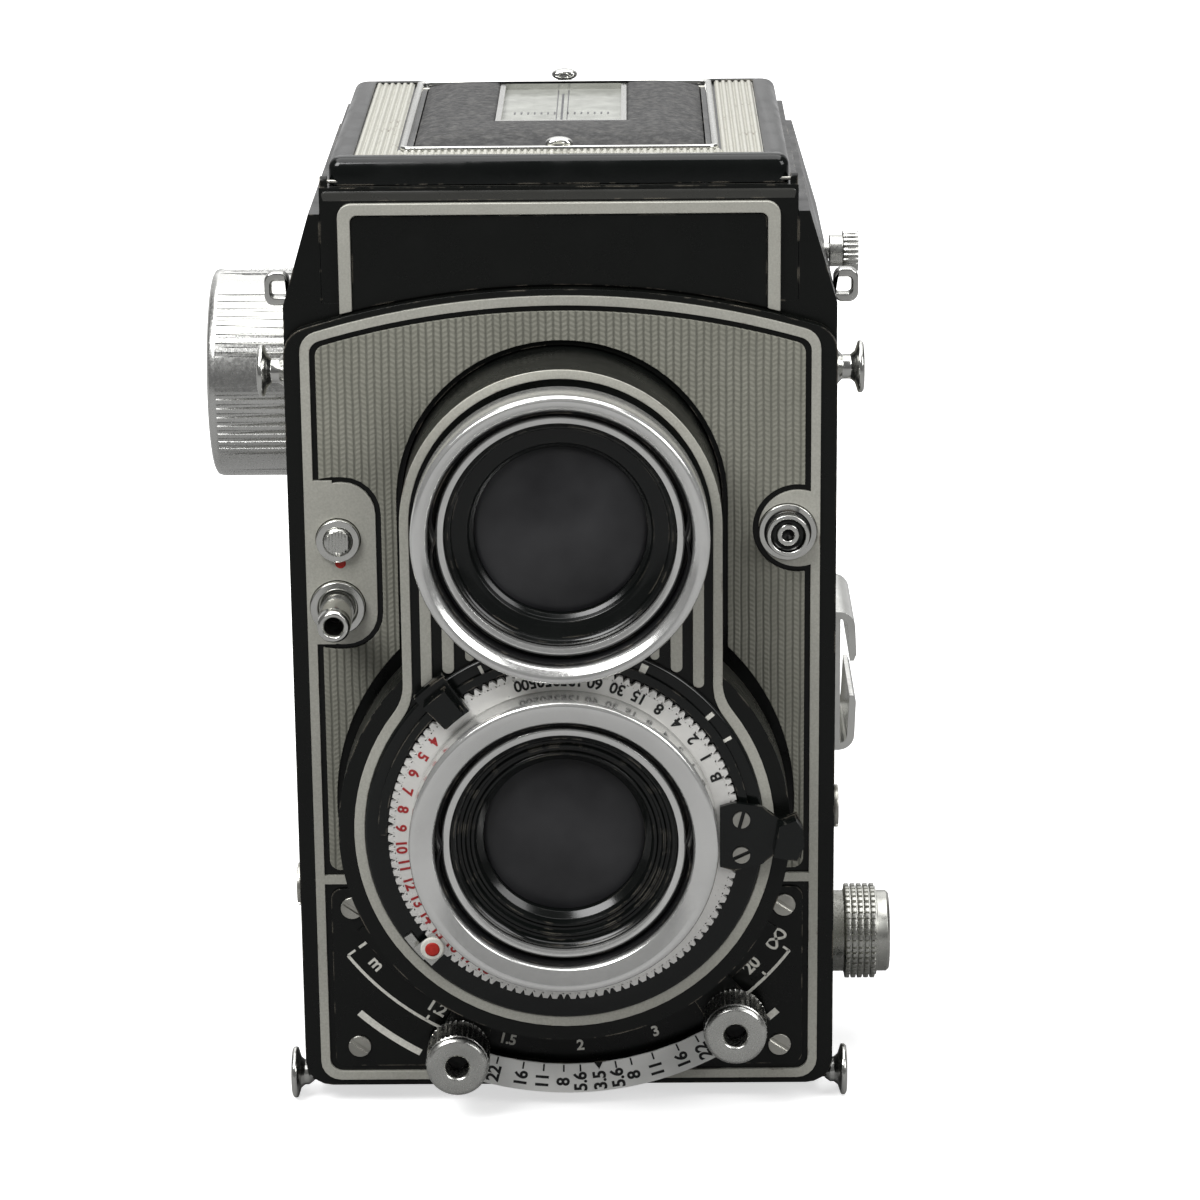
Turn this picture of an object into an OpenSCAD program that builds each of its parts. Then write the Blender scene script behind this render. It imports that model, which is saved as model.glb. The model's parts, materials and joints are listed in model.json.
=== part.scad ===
/* [Body] */
// Width over the covered sides of the body
body_w = 79.6; // [79:0.1:80.6]
// Depth from the front trim face to the back door
body_depth = 76; // [76:0.2:77]
// Height of the shoulders above the rest plane
shoulder_z = 137; // [136.5:0.1:137.5]
// Height of the underside of the body above the rest plane
underside_z = 3.2; // [3.2:0.1:3.3]

/* [Lenses] */
// Height of the taking lens axis above the rest plane
taking_z = 48.9; // [48.5:0.1:49.3]
// Height of the viewing lens axis above the rest plane
viewing_z = 94.9; // [94.5:0.1:95.3]
// Distance that the lens board stands in front of the trim face
board_reach = 12.8; // [12.8:0.1:13.2]

/* [Hood] */
// Length of each folding hood leaf
leaf_len = 24; // [20:0.5:24]
// Thickness of the folding hood leaves
leaf_t = 0.8; // [0.6:0.05:0.8]

/* [Knobs] */
// Radius of the film advance knob
advance_r = 16.4; // [14:0.1:17]
// Length of the film advance knob
advance_len = 15.2; // [12:0.1:16]
// Radius of the supply spool knob
supply_knob_r = 7.35; // [6.5:0.05:8]

/* [Mounts] */
// Radius of the tripod thread bore
tripod_r = 2.55; // [2.5:0.05:2.6]
// Depth of the tripod thread bore
tripod_depth = 8; // [7:0.1:8]

/* [Hidden] */
$fn = 96;

// Colours
enamel = [0.02, 0.02, 0.02];
trim_grey = [0.59, 0.58, 0.54];
cover_grey = [0.30, 0.32, 0.28];
chrome_c = [0.78, 0.78, 0.76];
alloy_c = [0.66, 0.66, 0.64];
glass_c = [0.12, 0.15, 0.20];

// Body outline
half_w = body_w / 2;
wall = 2;
front_f = body_depth / 2;
cover_f = front_f - 0.1;
plate_f = front_f - 0.6;
casting_f = plate_f - 2;
door_y = body_depth / 2;
door_t = 3;
casting_back = door_y - 3.4;
tray_top = underside_z + 1.5;
lip_top = 11.7;
slope_z = 123.5;
ledge_z = 124;
slope_in = 4;
arch_top = 126.3;
arch_r = 125;
hood_w = 34.15;
hood_front_f = casting_f;
hood_back = 31;
hood_top = 140.8;

// Lens board
board_f = front_f + board_reach;
board_back_f = board_f - 2.5;
drum_r = 32.8;
arch_w = 23;
skirt_t = 1.2;
slide_gap = 0.2;
guide_r = 27.4;
fixed_r = 28;
ring_r = 31.6;

// Focus ring: angles of its knobs and index notch from straight down, and their radii
focus_knob_at = [-22.9, 36.1];
index_at = 6.2;
knob_orbit = 42.4;
focus_knob_r = 4.75;
band_r = 46.2;

// Spools and knobs
supply_y = -12;
supply_z = 17.7;
take_y = 22.5;
take_z = 99.6;
spool_half = 30.75;
pin_r = 3;
run_gap = 0.05;

// Hood
screen_z = 128.2;
lid_z = 141;
lid_top = 144.9;
lid_w = 32.85;
lid_front = -34.5;
lid_back = 29.45;
lid_hinge = [-34.2, 141.5];
pintle_r = 0.27;
leaf_hinge_x = 31;
side_leaf_z = 139.8;
rear_leaf_z = 138.6;
rear_leaf_y = 29;
loupe_hinge = [1.8, 142.3];
flap_hinge = [24.2, 144.2];

// Back door
door_hinge = [door_y - 1.6, 118];
bush_r = 6;

// Places of the small front and side fittings
lock_at = [-32.6, 89.4];
release_at = [-32.9, 79.2];
release_f = front_f + 10;
sync_at = [32.7, 90.2];
plate_screw_at = [[-31.5, 9.8], [31.8, 9.7], [-32.1, 32.1], [32.4, 32.2]];
stud_y = -34;
stud_z = 113.8;
foot_stud_z = 3.9;
shoe_y = [-30, -10];
shoe_z = [53.8, 75.4];
selector_at = [-5, 124.5];

// A flat shape drawn in X and Z, standing from f0 to f1 in front of the origin
module facing(f0, f1) {
    translate([0, -f0, 0]) rotate([90, 0, 0]) linear_extrude(f1 - f0) children();
}

// A flat shape drawn in Y and Z, standing from x0 to x1
module sideways(x0, x1) {
    translate([x0, 0, 0]) rotate([90, 0, 90]) linear_extrude(x1 - x0) children();
}

// A block between two corners
module block(a, b) {
    translate(a) cube(b - a);
}

// A rod along X
module rod_x(y, z, r, x0, x1) {
    translate([x0, y, z]) rotate([0, 90, 0]) cylinder(r = r, h = x1 - x0);
}

// A rod along Y, from f0 to f1 in front of the origin
module rod_f(x, z, r, f0, f1) {
    translate([x, -f0, z]) rotate([90, 0, 0]) cylinder(r = r, h = f1 - f0);
}

// A tube about a lens axis at height z
module tube_f(z, r_in, r_out, f0, f1) {
    difference() {
        rod_f(0, z, r_out, f0, f1);
        rod_f(0, z, r_in, f0 - 1, f1 + 1);
    }
}

// A turned profile of (radius, distance forward) about a lens axis
module turned_f(z, points) {
    translate([0, 0, z]) rotate([90, 0, 0]) rotate_extrude() polygon(points);
}

// A turned profile of (radius, X) about a side axis
module turned_x(y, z, points) {
    translate([0, y, z]) rotate([0, 90, 0]) rotate_extrude() polygon(points);
}

// Copies at both sides of the body
module both_sides() {
    children();
    mirror([1, 0, 0]) children();
}

// A rectangle with corners of radius r, from corner a to corner b
module rounded(a, b, r) {
    translate(a + [r, r]) offset(r, $fn = 24) square(b - a - [2 * r, 2 * r]);
}

// A ring sector about the taking axis, angles from straight down towards +X
module sector(r0, r1, a0, a1) {
    translate([0, taking_z]) intersection() {
        difference() {
            circle(r1);
            circle(r0);
        }
        polygon(concat([[0, 0]], [for (i = [0:4]) let (a = a0 + (a1 - a0) * i / 4)
            2 * r1 * [sin(a), -cos(a)]]));
    }
}

// Point at radius r and angle a from straight down about the taking axis
function below(r, a) = [r * sin(a), taking_z - r * cos(a)];

// Point at radius r and angle a clockwise from the top of the taking axis
function above(r, a) = [r * sin(a), taking_z + r * cos(a)];

// Height of a dome of base radius rb and rise h at radius r
function dome(rb, h, r) = h * (1 - pow(r / rb, 2));

// Points on an arc from angle a0 to a1, in n steps
function arc(at, r, a0, a1, n) = [for (i = [0:n])
    let (a = a0 + (a1 - a0) * i / n) at + r * [cos(a), sin(a)]];

// Outline of the front: square foot with rounded corners and a low arched top of radius r
module front_outline(w, z0, top, r, corner) {
    shoulder = [w - corner, top - r + sqrt(pow(r - corner, 2) - pow(w - corner, 2))];
    lean = atan2(shoulder.y - top + r, shoulder.x);
    polygon(concat(
        arc(shoulder, corner, 0, lean, 5),
        arc([0, top - r], r, lean + 1, 179 - lean, 24),
        arc([-shoulder.x, shoulder.y], corner, 180 - lean, 180, 5),
        arc([corner - w, z0 + corner], corner, 180, 270, 5),
        arc([w - corner, z0 + corner], corner, 270, 360, 5)));
}

// Outline of the arch and neck of the lens board
module arch_outline(w) {
    polygon(concat([[w, taking_z]],
        [for (a = [0:5:180]) [w * cos(a), viewing_z + w * sin(a)]], [[-w, taking_z]]));
}

// Keyhole outline: the arch and its legs, flared into a ring of radius r about the taking axis
module keyhole(w, r, flare) {
    rise = sqrt(pow(r + flare, 2) - pow(w + flare, 2));
    lean = atan2(rise, w + flare);
    translate([0, taking_z]) polygon(concat(
        arc([0, viewing_z - taking_z], w, 0, 180, 48),
        arc([-w - flare, rise], flare, 0, -lean, 6),
        arc([0, 0], r, 180 - lean, 360 + lean, 60),
        arc([w + flare, rise], flare, 180 + lean, 180, 6)));
}

module board_outline() {
    arch_outline(arch_w);
    translate([0, taking_z]) circle(drum_r);
}

// Opening that the arch of the lens board slides in
module arch_opening() {
    difference() {
        arch_outline(arch_w + slide_gap);
        translate([0, taking_z]) circle(drum_r + 0.8);
    }
}

// ---- Fixed body ----

module casting_outline() {
    polygon([
        [-half_w, lip_top + 0.1], [half_w, lip_top + 0.1], [half_w, slope_z],
        [half_w - slope_in, shoulder_z], [slope_in - half_w, shoulder_z], [-half_w, slope_z]
    ]);
}

module body_casting() color(enamel) {
    difference() {
        facing(-casting_back, casting_f) casting_outline();
        block([-half_w + wall, -casting_f + wall, 0],
            [half_w - wall, casting_back + 1, ledge_z - wall]);
        block([-hood_w - 0.05, -casting_f - 1, ledge_z],
            [hood_w + 0.05, hood_back + 0.1, shoulder_z + 1]);
        block([-31, -31, ledge_z - wall - 1], [31, 27, ledge_z + 1]);
        facing(casting_f - wall - 1, casting_f + 1) arch_opening();
        rod_f(0, taking_z, 31.2, casting_f - wall - 1, casting_f + 1);
        rod_f(lock_at.x, lock_at.y, 2.6, casting_f - wall - 1, casting_f + 1);
        rod_f(release_at.x, release_at.y, 3.2, casting_f - wall - 1, casting_f + 1);
        both_sides() cover_pocket();
        rod_x(supply_y, supply_z, pin_r + run_gap, half_w - wall - 1, half_w + 1);
        rod_x(take_y, take_z, pin_r + run_gap, -half_w - 1, -half_w + wall + 1);
        rod_x(selector_at.x, selector_at.y, 1.2 + run_gap, hood_w - 1, half_w + 1);
    }
    door_lugs();
}

module cover_pocket() {
    block([half_w - 0.5, -32, 14], [half_w + 1, 32.5, 119.5]);
}

// Rear hinge lugs that carry the door pin
module door_lugs() {
    for (x = [-26, 0, 26])
        difference() {
            union() {
                rod_x(door_hinge.x, door_hinge.y, 1.5, x - 4, x + 4);
                block([x - 4, casting_back - 0.5, door_hinge.y - 0.9],
                    [x + 4, door_hinge.x, door_hinge.y + 1.5]);
            }
            rod_x(door_hinge.x, door_hinge.y, 0.8, x - 5, x + 5);
        }
}

module front_plate() color(enamel) {
    difference() {
        facing(casting_f, plate_f) difference() {
            front_outline(half_w, underside_z, arch_top, arch_r, 4);
            arch_opening();
        }
        rod_f(0, taking_z, fixed_r, casting_f - 1, plate_f + 1);
        rod_f(lock_at.x, lock_at.y, 2.6, casting_f - 1, plate_f + 1);
        rod_f(release_at.x, release_at.y, 3.2, casting_f - 1, plate_f + 1);
        rod_f(sync_at.x, sync_at.y, 3, casting_f - 1, plate_f + 1);
        for (p = plate_screw_at) rod_f(p.x, p.y, 1.2, casting_f - 1, plate_f + 1);
    }
    both_sides() block([34, -casting_f, underside_z], [half_w - 1, -31, 11.5]);
    block([-34, -casting_f, underside_z], [34, -33.9, 6]);
}

// Raised grey border with its pads for the buttons and the sync socket
module trim_outline() {
    difference() {
        front_outline(37.4, 4.3, arch_top - 0.9, arch_r - 1, 3);
        front_outline(36.05, 5.65, arch_top - 2.25, arch_r - 2.35, 2);
    }
    rounded([-37.3, 73.5], [-27.1, 98], 4.8);
    translate([-37.3, 73.5]) square([4, 24.8]);
    sync_pad(5.75, 37.3);
}

// Round pad for the sync socket, cut off straight at X = edge
module sync_pad(r, edge) {
    difference() {
        translate(sync_at + [1.5, 0.45]) circle(r, $fn = 48);
        translate([edge, sync_at.y - 10]) square([20, 20]);
    }
}

module divider_outline() {
    difference() {
        for (s = [-1, 1]) translate([s * 34.6, 36.6]) square([5.2, 1.35], center = true);
        translate([0, taking_z]) circle(drum_r + 0.9);
    }
}

module front_trim() color(trim_grey) {
    difference() {
        facing(plate_f, front_f) {
            trim_outline();
            divider_outline();
        }
        rod_f(lock_at.x, lock_at.y, 3.3, plate_f - 1, front_f + 1);
        rod_f(release_at.x, release_at.y, 4.1, plate_f - 1, front_f + 1);
        rod_f(sync_at.x, sync_at.y, 4.3, plate_f - 1, front_f + 1);
    }
}

module front_covering() color(cover_grey) {
    facing(plate_f, cover_f) difference() {
        intersection() {
            front_outline(35.2, 38.1, arch_top - 3.1, arch_r - 3.2, 1.6);
            translate([-36, 38.1]) square([72, 90]);
        }
        arch_outline(arch_w + 1);
        translate([0, taking_z]) circle(drum_r + 1);
        rounded([-39, 72.7], [-26.3, 98.8], 5.6);
        sync_pad(6.6, 45);
    }
}

// Black lower panel with the raised arc that the depth scale runs past
module distance_plate() color(enamel) {
    difference() {
        union() {
            facing(plate_f, cover_f - 0.1) difference() {
                rounded([-35.2, 6.5], [35.2, 35.1], 1.6);
                translate([0, taking_z]) circle(drum_r + 0.3);
            }
            facing(cover_f - 0.1, front_f + 0.3) intersection() {
                sector(33.2, 37.4, -57, 57);
                translate([-34, 7]) square([68, 28]);
            }
        }
        for (p = plate_screw_at) rod_f(p.x, p.y, 1.2, plate_f - 1, front_f + 1);
    }
}

// A slotted screw that faces forward
module front_screw(p, head_r, f_head) {
    difference() {
        union() {
            rod_f(p.x, p.y, head_r, f_head, f_head + 0.4);
            rod_f(p.x, p.y, 1.2, casting_f, f_head + 0.1);
        }
        translate([p.x, -f_head - 0.4, p.y]) rotate([0, 35, 0]) cube([8, 0.4, 0.5], center = true);
    }
}

// A slotted screw that faces sideways
module side_screw(side, y, z) {
    mirror([side < 0 ? 1 : 0, 0, 0]) difference() {
        union() {
            rod_x(y, z, 3.2, half_w + 0.1, half_w + 0.9);
            rod_x(y, z, 1.6, half_w - 0.5, half_w + 0.2);
        }
        translate([half_w + 0.9, y, z]) rotate([50, 0, 0]) cube([0.7, 8, 0.9], center = true);
    }
}

module case_screws() color(alloy_c) {
    for (p = plate_screw_at) front_screw(p, 1.7, cover_f - 0.1);
    side_screw(1, -30, 45);
    side_screw(-1, -30, 33);
}

// One side sheet of covering, set in the pocket in the casting
module side_sheet() {
    sideways(half_w - 0.5, half_w + 0.1) rounded([-31.9, 14.1], [32.4, 119.4], 2);
}

module side_coverings() color(cover_grey) {
    difference() {
        side_sheet();
        rod_x(supply_y, supply_z, 7.8, half_w - 1, half_w + 1);
        rod_x(-30, 45, 1.6, half_w - 1, half_w + 1);
        rod_x(stud_y, stud_z, 5, half_w - 1, half_w + 1);
        block([half_w - 1, shoe_y[0] - 0.1, shoe_z[0] - 0.1],
            [half_w + 1, shoe_y[1] + 0.1, shoe_z[1] + 0.1]);
    }
    mirror([1, 0, 0]) difference() {
        side_sheet();
        rod_x(take_y, take_z, 8, half_w - 1, half_w + 1);
        rod_x(-30, 33, 1.6, half_w - 1, half_w + 1);
        rod_x(stud_y, stud_z, 5, half_w - 1, half_w + 1);
    }
}

// Fixed tube that the focus ring turns on and the lens board slides in
module helicoid_tube() color(alloy_c) {
    tube_f(taking_z, guide_r + 0.1, fixed_r, casting_f, board_f - 5.9);
    tube_f(taking_z, guide_r + 0.1, 31, casting_f - 1.2, casting_f);
}

module bush(at, bore_r, body_r, flange_r, f_front) {
    difference() {
        union() {
            rod_f(at.x, at.y, body_r, casting_f - wall, plate_f);
            rod_f(at.x, at.y, flange_r, plate_f, f_front);
        }
        rod_f(at.x, at.y, bore_r, casting_f - 5, f_front + 1);
    }
}

module button_bushes() color(chrome_c) {
    bush(lock_at, 2.1, 2.6, 3.2, front_f + 0.9);
    difference() {
        bush(release_at, 2.5, 3.2, 4, front_f + 0.9);
        rod_f(release_at.x, release_at.y, 2.9, front_f - 0.2, front_f + 2);
    }
}

// Flash socket: flange, outer sleeve and centre contact
module sync_socket() color(chrome_c) {
    difference() {
        union() {
            rod_f(sync_at.x, sync_at.y, 3, casting_f, plate_f);
            rod_f(sync_at.x, sync_at.y, 4.2, plate_f, front_f + 0.5);
            rod_f(sync_at.x, sync_at.y, 3.1, plate_f, front_f + 2.4);
        }
        rod_f(sync_at.x, sync_at.y, 2.5, front_f, front_f + 4);
    }
    difference() {
        rod_f(sync_at.x, sync_at.y, 1.6, front_f - 0.1, front_f + 2);
        rod_f(sync_at.x, sync_at.y, 0.9, front_f, front_f + 4);
    }
}

// Wire loops at the shoulders
module strap_loops() color(chrome_c) {
    both_sides() facing(22, 24) difference() {
        rounded([half_w - 0.05, 121], [43.4, 126], 1.4);
        rounded([40.1, 122.3], [42.4, 124.7], 0.6);
        casting_outline();
    }
}

// Flared strap studs and the lower pair that double as front feet
module strap_studs() color(chrome_c) {
    both_sides() {
        turned_x(stud_y, stud_z, [[0, half_w], [2.6, half_w], [1.8, half_w + 0.8],
            [1.8, 41.8], [3.8, 42.9], [3.8, 43.4], [3.4, 43.7], [0, 43.7]]);
        turned_x(stud_y, foot_stud_z, [[0, half_w - 1], [1.3, half_w - 1], [1.3, half_w],
            [1.9, half_w], [1.9, 40.6], [3.9, 41.2], [3.9, 41.8], [3.6, 42.1], [0, 42.1]]);
    }
}

// Side rail that takes a slide-in accessory foot
module accessory_shoe() color(alloy_c) {
    rotate([90, 0, 0]) translate([0, 0, -shoe_y[1]]) linear_extrude(shoe_y[1] - shoe_y[0]) {
        translate([half_w - 0.5, shoe_z[0]]) square([1.6, shoe_z[1] - shoe_z[0]]);
        shoe_rail(shoe_z[0], 1, 8.6);
        shoe_rail(shoe_z[1], -1, 7.6);
    }
}

// Section of one rail of the shoe, bent over from height z, with a lip of the given length
module shoe_rail(z, up, lip) {
    bend = [half_w + 0.9, z + up * 2.4];
    polygon(concat(
        [[half_w, z]],
        arc(bend, 2.4, -90 * up, 0, 6),
        [[half_w + 3.5, z + up * (lip - 1)], [half_w + 3.1, z + up * lip], [half_w + 2.5, z + up * lip]],
        arc(bend, 1.3, 0, -90 * up, 6),
        [[half_w, z + up * 1.1]]));
}

// Upright case of the finder hood
module hood_frame() color(enamel) {
    difference() {
        block([-hood_w, -hood_front_f, ledge_z], [hood_w, hood_back, hood_top]);
        block([-28, -30, ledge_z - 1], [28, 26, 130]);
        block([-32.5, -33.4, screen_z - 0.6], [32.5, 29.85, hood_top + 1]);
        hood_pin_bores();
    }
    lid_ears();
}

// Ears beside the lid, with a bore for its pintles
module lid_ears() {
    both_sides() difference() {
        union() {
            rod_x(lid_hinge.x, lid_hinge.y, 0.8, lid_w + 0.15, hood_w - 0.1);
            block([lid_w + 0.15, lid_hinge.x - 0.8, hood_top - 0.5],
                [hood_w - 0.1, lid_hinge.x + 0.8, lid_hinge.y]);
        }
        rod_x(lid_hinge.x, lid_hinge.y, pintle_r + run_gap, lid_w - 1, hood_w + 1);
    }
}

module hood_pin_bores() {
    both_sides() rod_f(leaf_hinge_x, side_leaf_z, 0.4, -hood_back - 1, hood_front_f - 1);
    rod_x(rear_leaf_y, rear_leaf_z, 0.4, -hood_w + 0.5, hood_w - 0.5);
}

// Black field on the front of the hood, inside its grey frame
module plate_field(w, top, r) {
    difference() {
        rounded([-w, 110], [w, top], r);
        intersection() {
            translate([0, arch_top - arch_r]) circle(arch_r + 0.25, $fn = 360);
            translate([-40, 100]) square([80, 40]);
        }
    }
}

module name_plate() color(enamel) {
    facing(hood_front_f, hood_front_f + 0.5) plate_field(29.7, 136.8, 1);
}

module name_plate_trim() color(trim_grey) {
    facing(hood_front_f, hood_front_f + 0.9) difference() {
        plate_field(31.6, 138.6, 2);
        rounded([-29.8, 100], [29.8, 136.9], 1);
    }
}

module focusing_screen() color([0.7, 0.72, 0.7]) {
    block([-30, -31, screen_z - 0.6], [30, 27, screen_z + 0.6]);
}

// Reflex mirror at 45 degrees under the screen
module mirror_sheet() {
    polygon([[-27, 70.2], [24.8, 122], [24.8 + 1.06, 122 - 1.06], [-27 + 1.06, 70.2 - 1.06]]);
}

module reflex_mirror() color(chrome_c) {
    sideways(-28, 28) mirror_sheet();
}

module mirror_cradle() color(enamel) {
    both_sides() sideways(28, half_w - wall) mirror_sheet();
}

// Film guide frame around the picture opening, with ears for the rollers
module film_gate() color(alloy_c) {
    difference() {
        union() {
            block([-half_w + wall, 29.6, 20], [half_w - wall, 31.2, 78]);
            both_sides() block([33, 24.6, 10.6], [35, 31.2, 86]);
        }
        block([-28, 29, taking_z - 28], [28, 32, taking_z + 28]);
        both_sides() {
            rod_x(27.8, 14.2, 1.5 + run_gap, 32, 36);
            rod_x(27.8, 82.4, 1.5 + run_gap, 32, 36);
        }
    }
}

// Fixed spool pins on the sides away from the knobs
module spool_pins() color(alloy_c) {
    rod_x(supply_y, supply_z, pin_r, -half_w + wall, -26);
    rod_x(take_y, take_z, pin_r, 26, half_w - wall);
    mirror([1, 0, 0]) turned_x(supply_y, supply_z, [[pin_r - 0.5, 32], [5, 32], [5, 33], [pin_r - 0.5, 33]]);
    turned_x(take_y, take_z, [[pin_r - 0.5, 32], [5, 32], [5, 33], [pin_r - 0.5, 33]]);
}

// Steel pins of the hood leaves and the back door
module hinge_pins() color(alloy_c) {
    both_sides() rod_f(leaf_hinge_x, side_leaf_z, 0.4, -hood_back + 0.2, 34);
    rod_x(rear_leaf_y, rear_leaf_z, 0.4, -33, 33);
    rod_x(door_hinge.x, door_hinge.y, 0.8, -30.2, 30.2);
}

// A free-turning film roller with its journals
module roller(z) {
    rod_x(27.8, z, 2.4, -32.8, 32.8);
    rod_x(27.8, z, 1.5, -34.9, 34.9);
}

module upper_roller() color(chrome_c) roller(82.4);

module lower_roller() color(chrome_c) roller(14.2);

// ---- Lens board ----

// Front panel that carries both lenses and slides for focus
module lens_board() color(enamel) {
    difference() {
        union() {
            facing(board_back_f, board_f) board_outline();
            tube_f(taking_z, drum_r - 1, drum_r - 0.02, board_f - 8, board_back_f + 0.4);
            tube_f(taking_z, guide_r - 1.8, guide_r, casting_f + 0.6, board_back_f);
            facing(casting_f - 2.6, board_back_f) difference() {
                arch_outline(arch_w);
                arch_outline(arch_w - skirt_t);
                translate([0, taking_z]) circle(drum_r + 1);
            }
        }
        rod_f(0, taking_z, 25.5, board_back_f - 1, board_f + 1);
        rod_f(0, viewing_z, 13.9, board_f - 9, board_f + 1);
    }
}

// Raised grey outline and side ribs of the lens board
module board_trim() color(trim_grey) {
    facing(board_f, board_f + 0.3) {
        difference() {
            keyhole(22.95, 30.5, 7);
            keyhole(21.6, 28.95, 8.35);
        }
        for (s = [-1, 1]) {
            rib(s * 19.5, 70.7, 0.8);
            rib(s * 16.35, 73.1, 0.85);
            rib(s * 13.25, 75, 0.65);
        }
    }
}

// One upright rib that runs up under the viewing bezel
module rib(x, z0, half) {
    difference() {
        union() {
            translate([x, z0 + half]) circle(half);
            translate([x - half, z0 + half]) square([2 * half, 20]);
        }
        translate([0, viewing_z]) circle(16.5);
    }
}

module viewing_barrel() color(enamel) {
    turned_f(viewing_z, [[12.3, 41.2], [13.9, 41.2], [13.9, board_f], [16.4, board_f],
        [16.4, board_f + 4.2], [14.6, board_f + 4.2], [14.6, board_f + 3.4], [12.5, board_f + 3],
        [12.3, board_f + 3]]);
}

// Bright bezel with its dark bayonet groove and inner ring
function bezel_profile(r_out, f_base, f_front, f_ring) = [
    [16.5, f_base], [r_out, f_base], [r_out, f_front - 0.5], [r_out - 0.5, f_front],
    [19, f_front], [18.6, f_front - 1], [18.4, f_ring - 1.6], [17.6, f_ring - 1.6],
    [17.6, f_ring], [16.5, f_ring]
];

// Locking bumps inside the bayonet groove
module bezel_bumps(z, f_ring) {
    for (s = [-1, 1]) intersection() {
        rod_f(s * 18.9, z, 1, f_ring - 1.6, f_ring + 0.6);
        rod_f(0, z, 18.7, f_ring - 2, f_ring + 1);
    }
}

module viewing_bezel() color(chrome_c) {
    turned_f(viewing_z, bezel_profile(21.1, board_f + 2.2, board_f + 8.2, board_f + 5.2));
    bezel_bumps(viewing_z, board_f + 5.2);
}

// A lens element with two curved faces
module element(z, r, f_back, f_front, rise) {
    turned_f(z, concat(
        [for (i = [0:8]) [r * i / 8, f_back - dome(r, rise, r * i / 8)]],
        [for (i = [8:-1:0]) [r * i / 8, f_front + dome(r, rise, r * i / 8)]]));
}

module viewing_glass() color(glass_c) {
    element(viewing_z, 12.3, board_f - 1.5, board_f + 1.2, 1.6);
    element(viewing_z, 12.3, 43, 44.3, 1);
}

// Body of the leaf shutter, through the board
module shutter_housing() color(enamel) {
    turned_f(taking_z, [[14.5, 39.5], [25.5, 39.5], [25.5, board_f], [28.9, board_f],
        [28.9, board_f + 0.8], [22, board_f + 0.8], [22, board_f + 2.2], [14.5, board_f + 2.2]]);
}

module taking_barrel() color(enamel) {
    turned_f(taking_z, [[11.7, 34], [14, 34], [14.5, 34.5], [14.5, board_f + 2.2],
        [16.4, board_f + 2.2], [16.4, board_f + 4.6], [15, board_f + 4.6], [14.4, board_f + 3.6],
        [13, board_f + 3.6], [12.6, board_f + 2.6], [11.7, board_f + 2.6]]);
}

module taking_bezel() color(chrome_c) {
    turned_f(taking_z, bezel_profile(22.3, board_f + 2.2, board_f + 7.7, board_f + 5.4));
    bezel_bumps(taking_z, board_f + 5.4);
}

module taking_glass() color(glass_c) {
    element(taking_z, 11.7, board_f - 2, board_f + 0.9, 1.5);
    element(taking_z, 11.7, 36.5, 38, 1);
}

// Iris leaves around a five-sided opening, and the closed shutter leaves behind
module aperture_blades() color(alloy_c) {
    difference() {
        rod_f(0, taking_z, 11.7, 45, 45.3);
        translate([0, -44, taking_z]) rotate([90, 0, 0]) cylinder(r = 5, h = 2, $fn = 5);
    }
}

module shutter_blades() color(alloy_c) {
    for (i = [0:4]) facing(43 + 0.2 * i, 43.2 + 0.2 * i) translate([0, taking_z])
        intersection() {
            circle(11.7);
            polygon([[0, 0], 30 * [cos(72 * i), sin(72 * i)], 36 * [cos(72 * i + 36), sin(72 * i + 36)],
                30 * [cos(72 * i + 72), sin(72 * i + 72)]]);
        }
}

// ---- Focus ring and knobs ----

module focus_ring() color(enamel) {
    difference() {
        union() {
            tube_f(taking_z, fixed_r + 0.08, ring_r, front_f + 0.5, board_f - 6.1);
            facing(front_f + 0.5, front_f + 1.5) {
                for (a = focus_knob_at) sector(ring_r - 0.5, band_r, a - 5, a + 5);
                difference() {
                    sector(band_r - 4.8, band_r, focus_knob_at[0], focus_knob_at[1]);
                    translate(below(band_r + 0.4, index_at)) rotate(index_at)
                        square([1.6, 1.6], center = true);
                }
            }
        }
        for (a = focus_knob_at) {
            peg = below(knob_orbit, a);
            rod_f(peg.x, peg.y, 1.6, front_f, front_f + 3);
        }
    }
}

// Teeth around a knurled rim, with the tips at radius r
module knurl_outline(r, depth, count) {
    polygon([for (i = [0:count - 1]) for (k = [0:3])
        let (a = 360 * (i + [0, 0.25, 0.5, 0.75][k]) / count, q = k < 2 ? r : r - depth)
        q * [cos(a), sin(a)]]);
}

module focus_knobs() color(enamel) {
    for (a = focus_knob_at) {
        at = below(knob_orbit, a);
        difference() {
            union() {
                facing(front_f + 1.5, front_f + 8) translate(at) knurl_outline(focus_knob_r, 0.3, 32);
                rod_f(at.x, at.y, focus_knob_r - 0.4, front_f + 8, front_f + 8.5);
                rod_f(at.x, at.y, 1.6, front_f + 0.5, front_f + 2);
            }
            rod_f(at.x, at.y, 1.5, front_f + 7.6, front_f + 9);
        }
    }
}

// ---- Shutter controls ----

module speed_ring() color(alloy_c) {
    difference() {
        union() {
            facing(board_f + 0.9, board_f + 1.9) translate([0, taking_z])
                knurl_outline(25.5, 0.45, 120);
            facing(board_f + 1.5, board_f + 2.7) speed_lever();
        }
        rod_f(0, taking_z, 22 + run_gap, board_f, board_f + 4);
    }
    for (z = [taking_z - 2.6, taking_z + 2.6]) rod_f(27, z, 1, board_f + 2.7, board_f + 3);
}

// Arm and curved finger tab of the speed ring
module speed_lever() {
    intersection() {
        sector(22.4, 29, 68, 112);
        translate([22.4, taking_z - 6]) square([8, 12]);
    }
    translate([28, taking_z - 1.6]) square([6, 3.2]);
    sector(32.9, 34.6, 84, 101);
}

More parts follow.
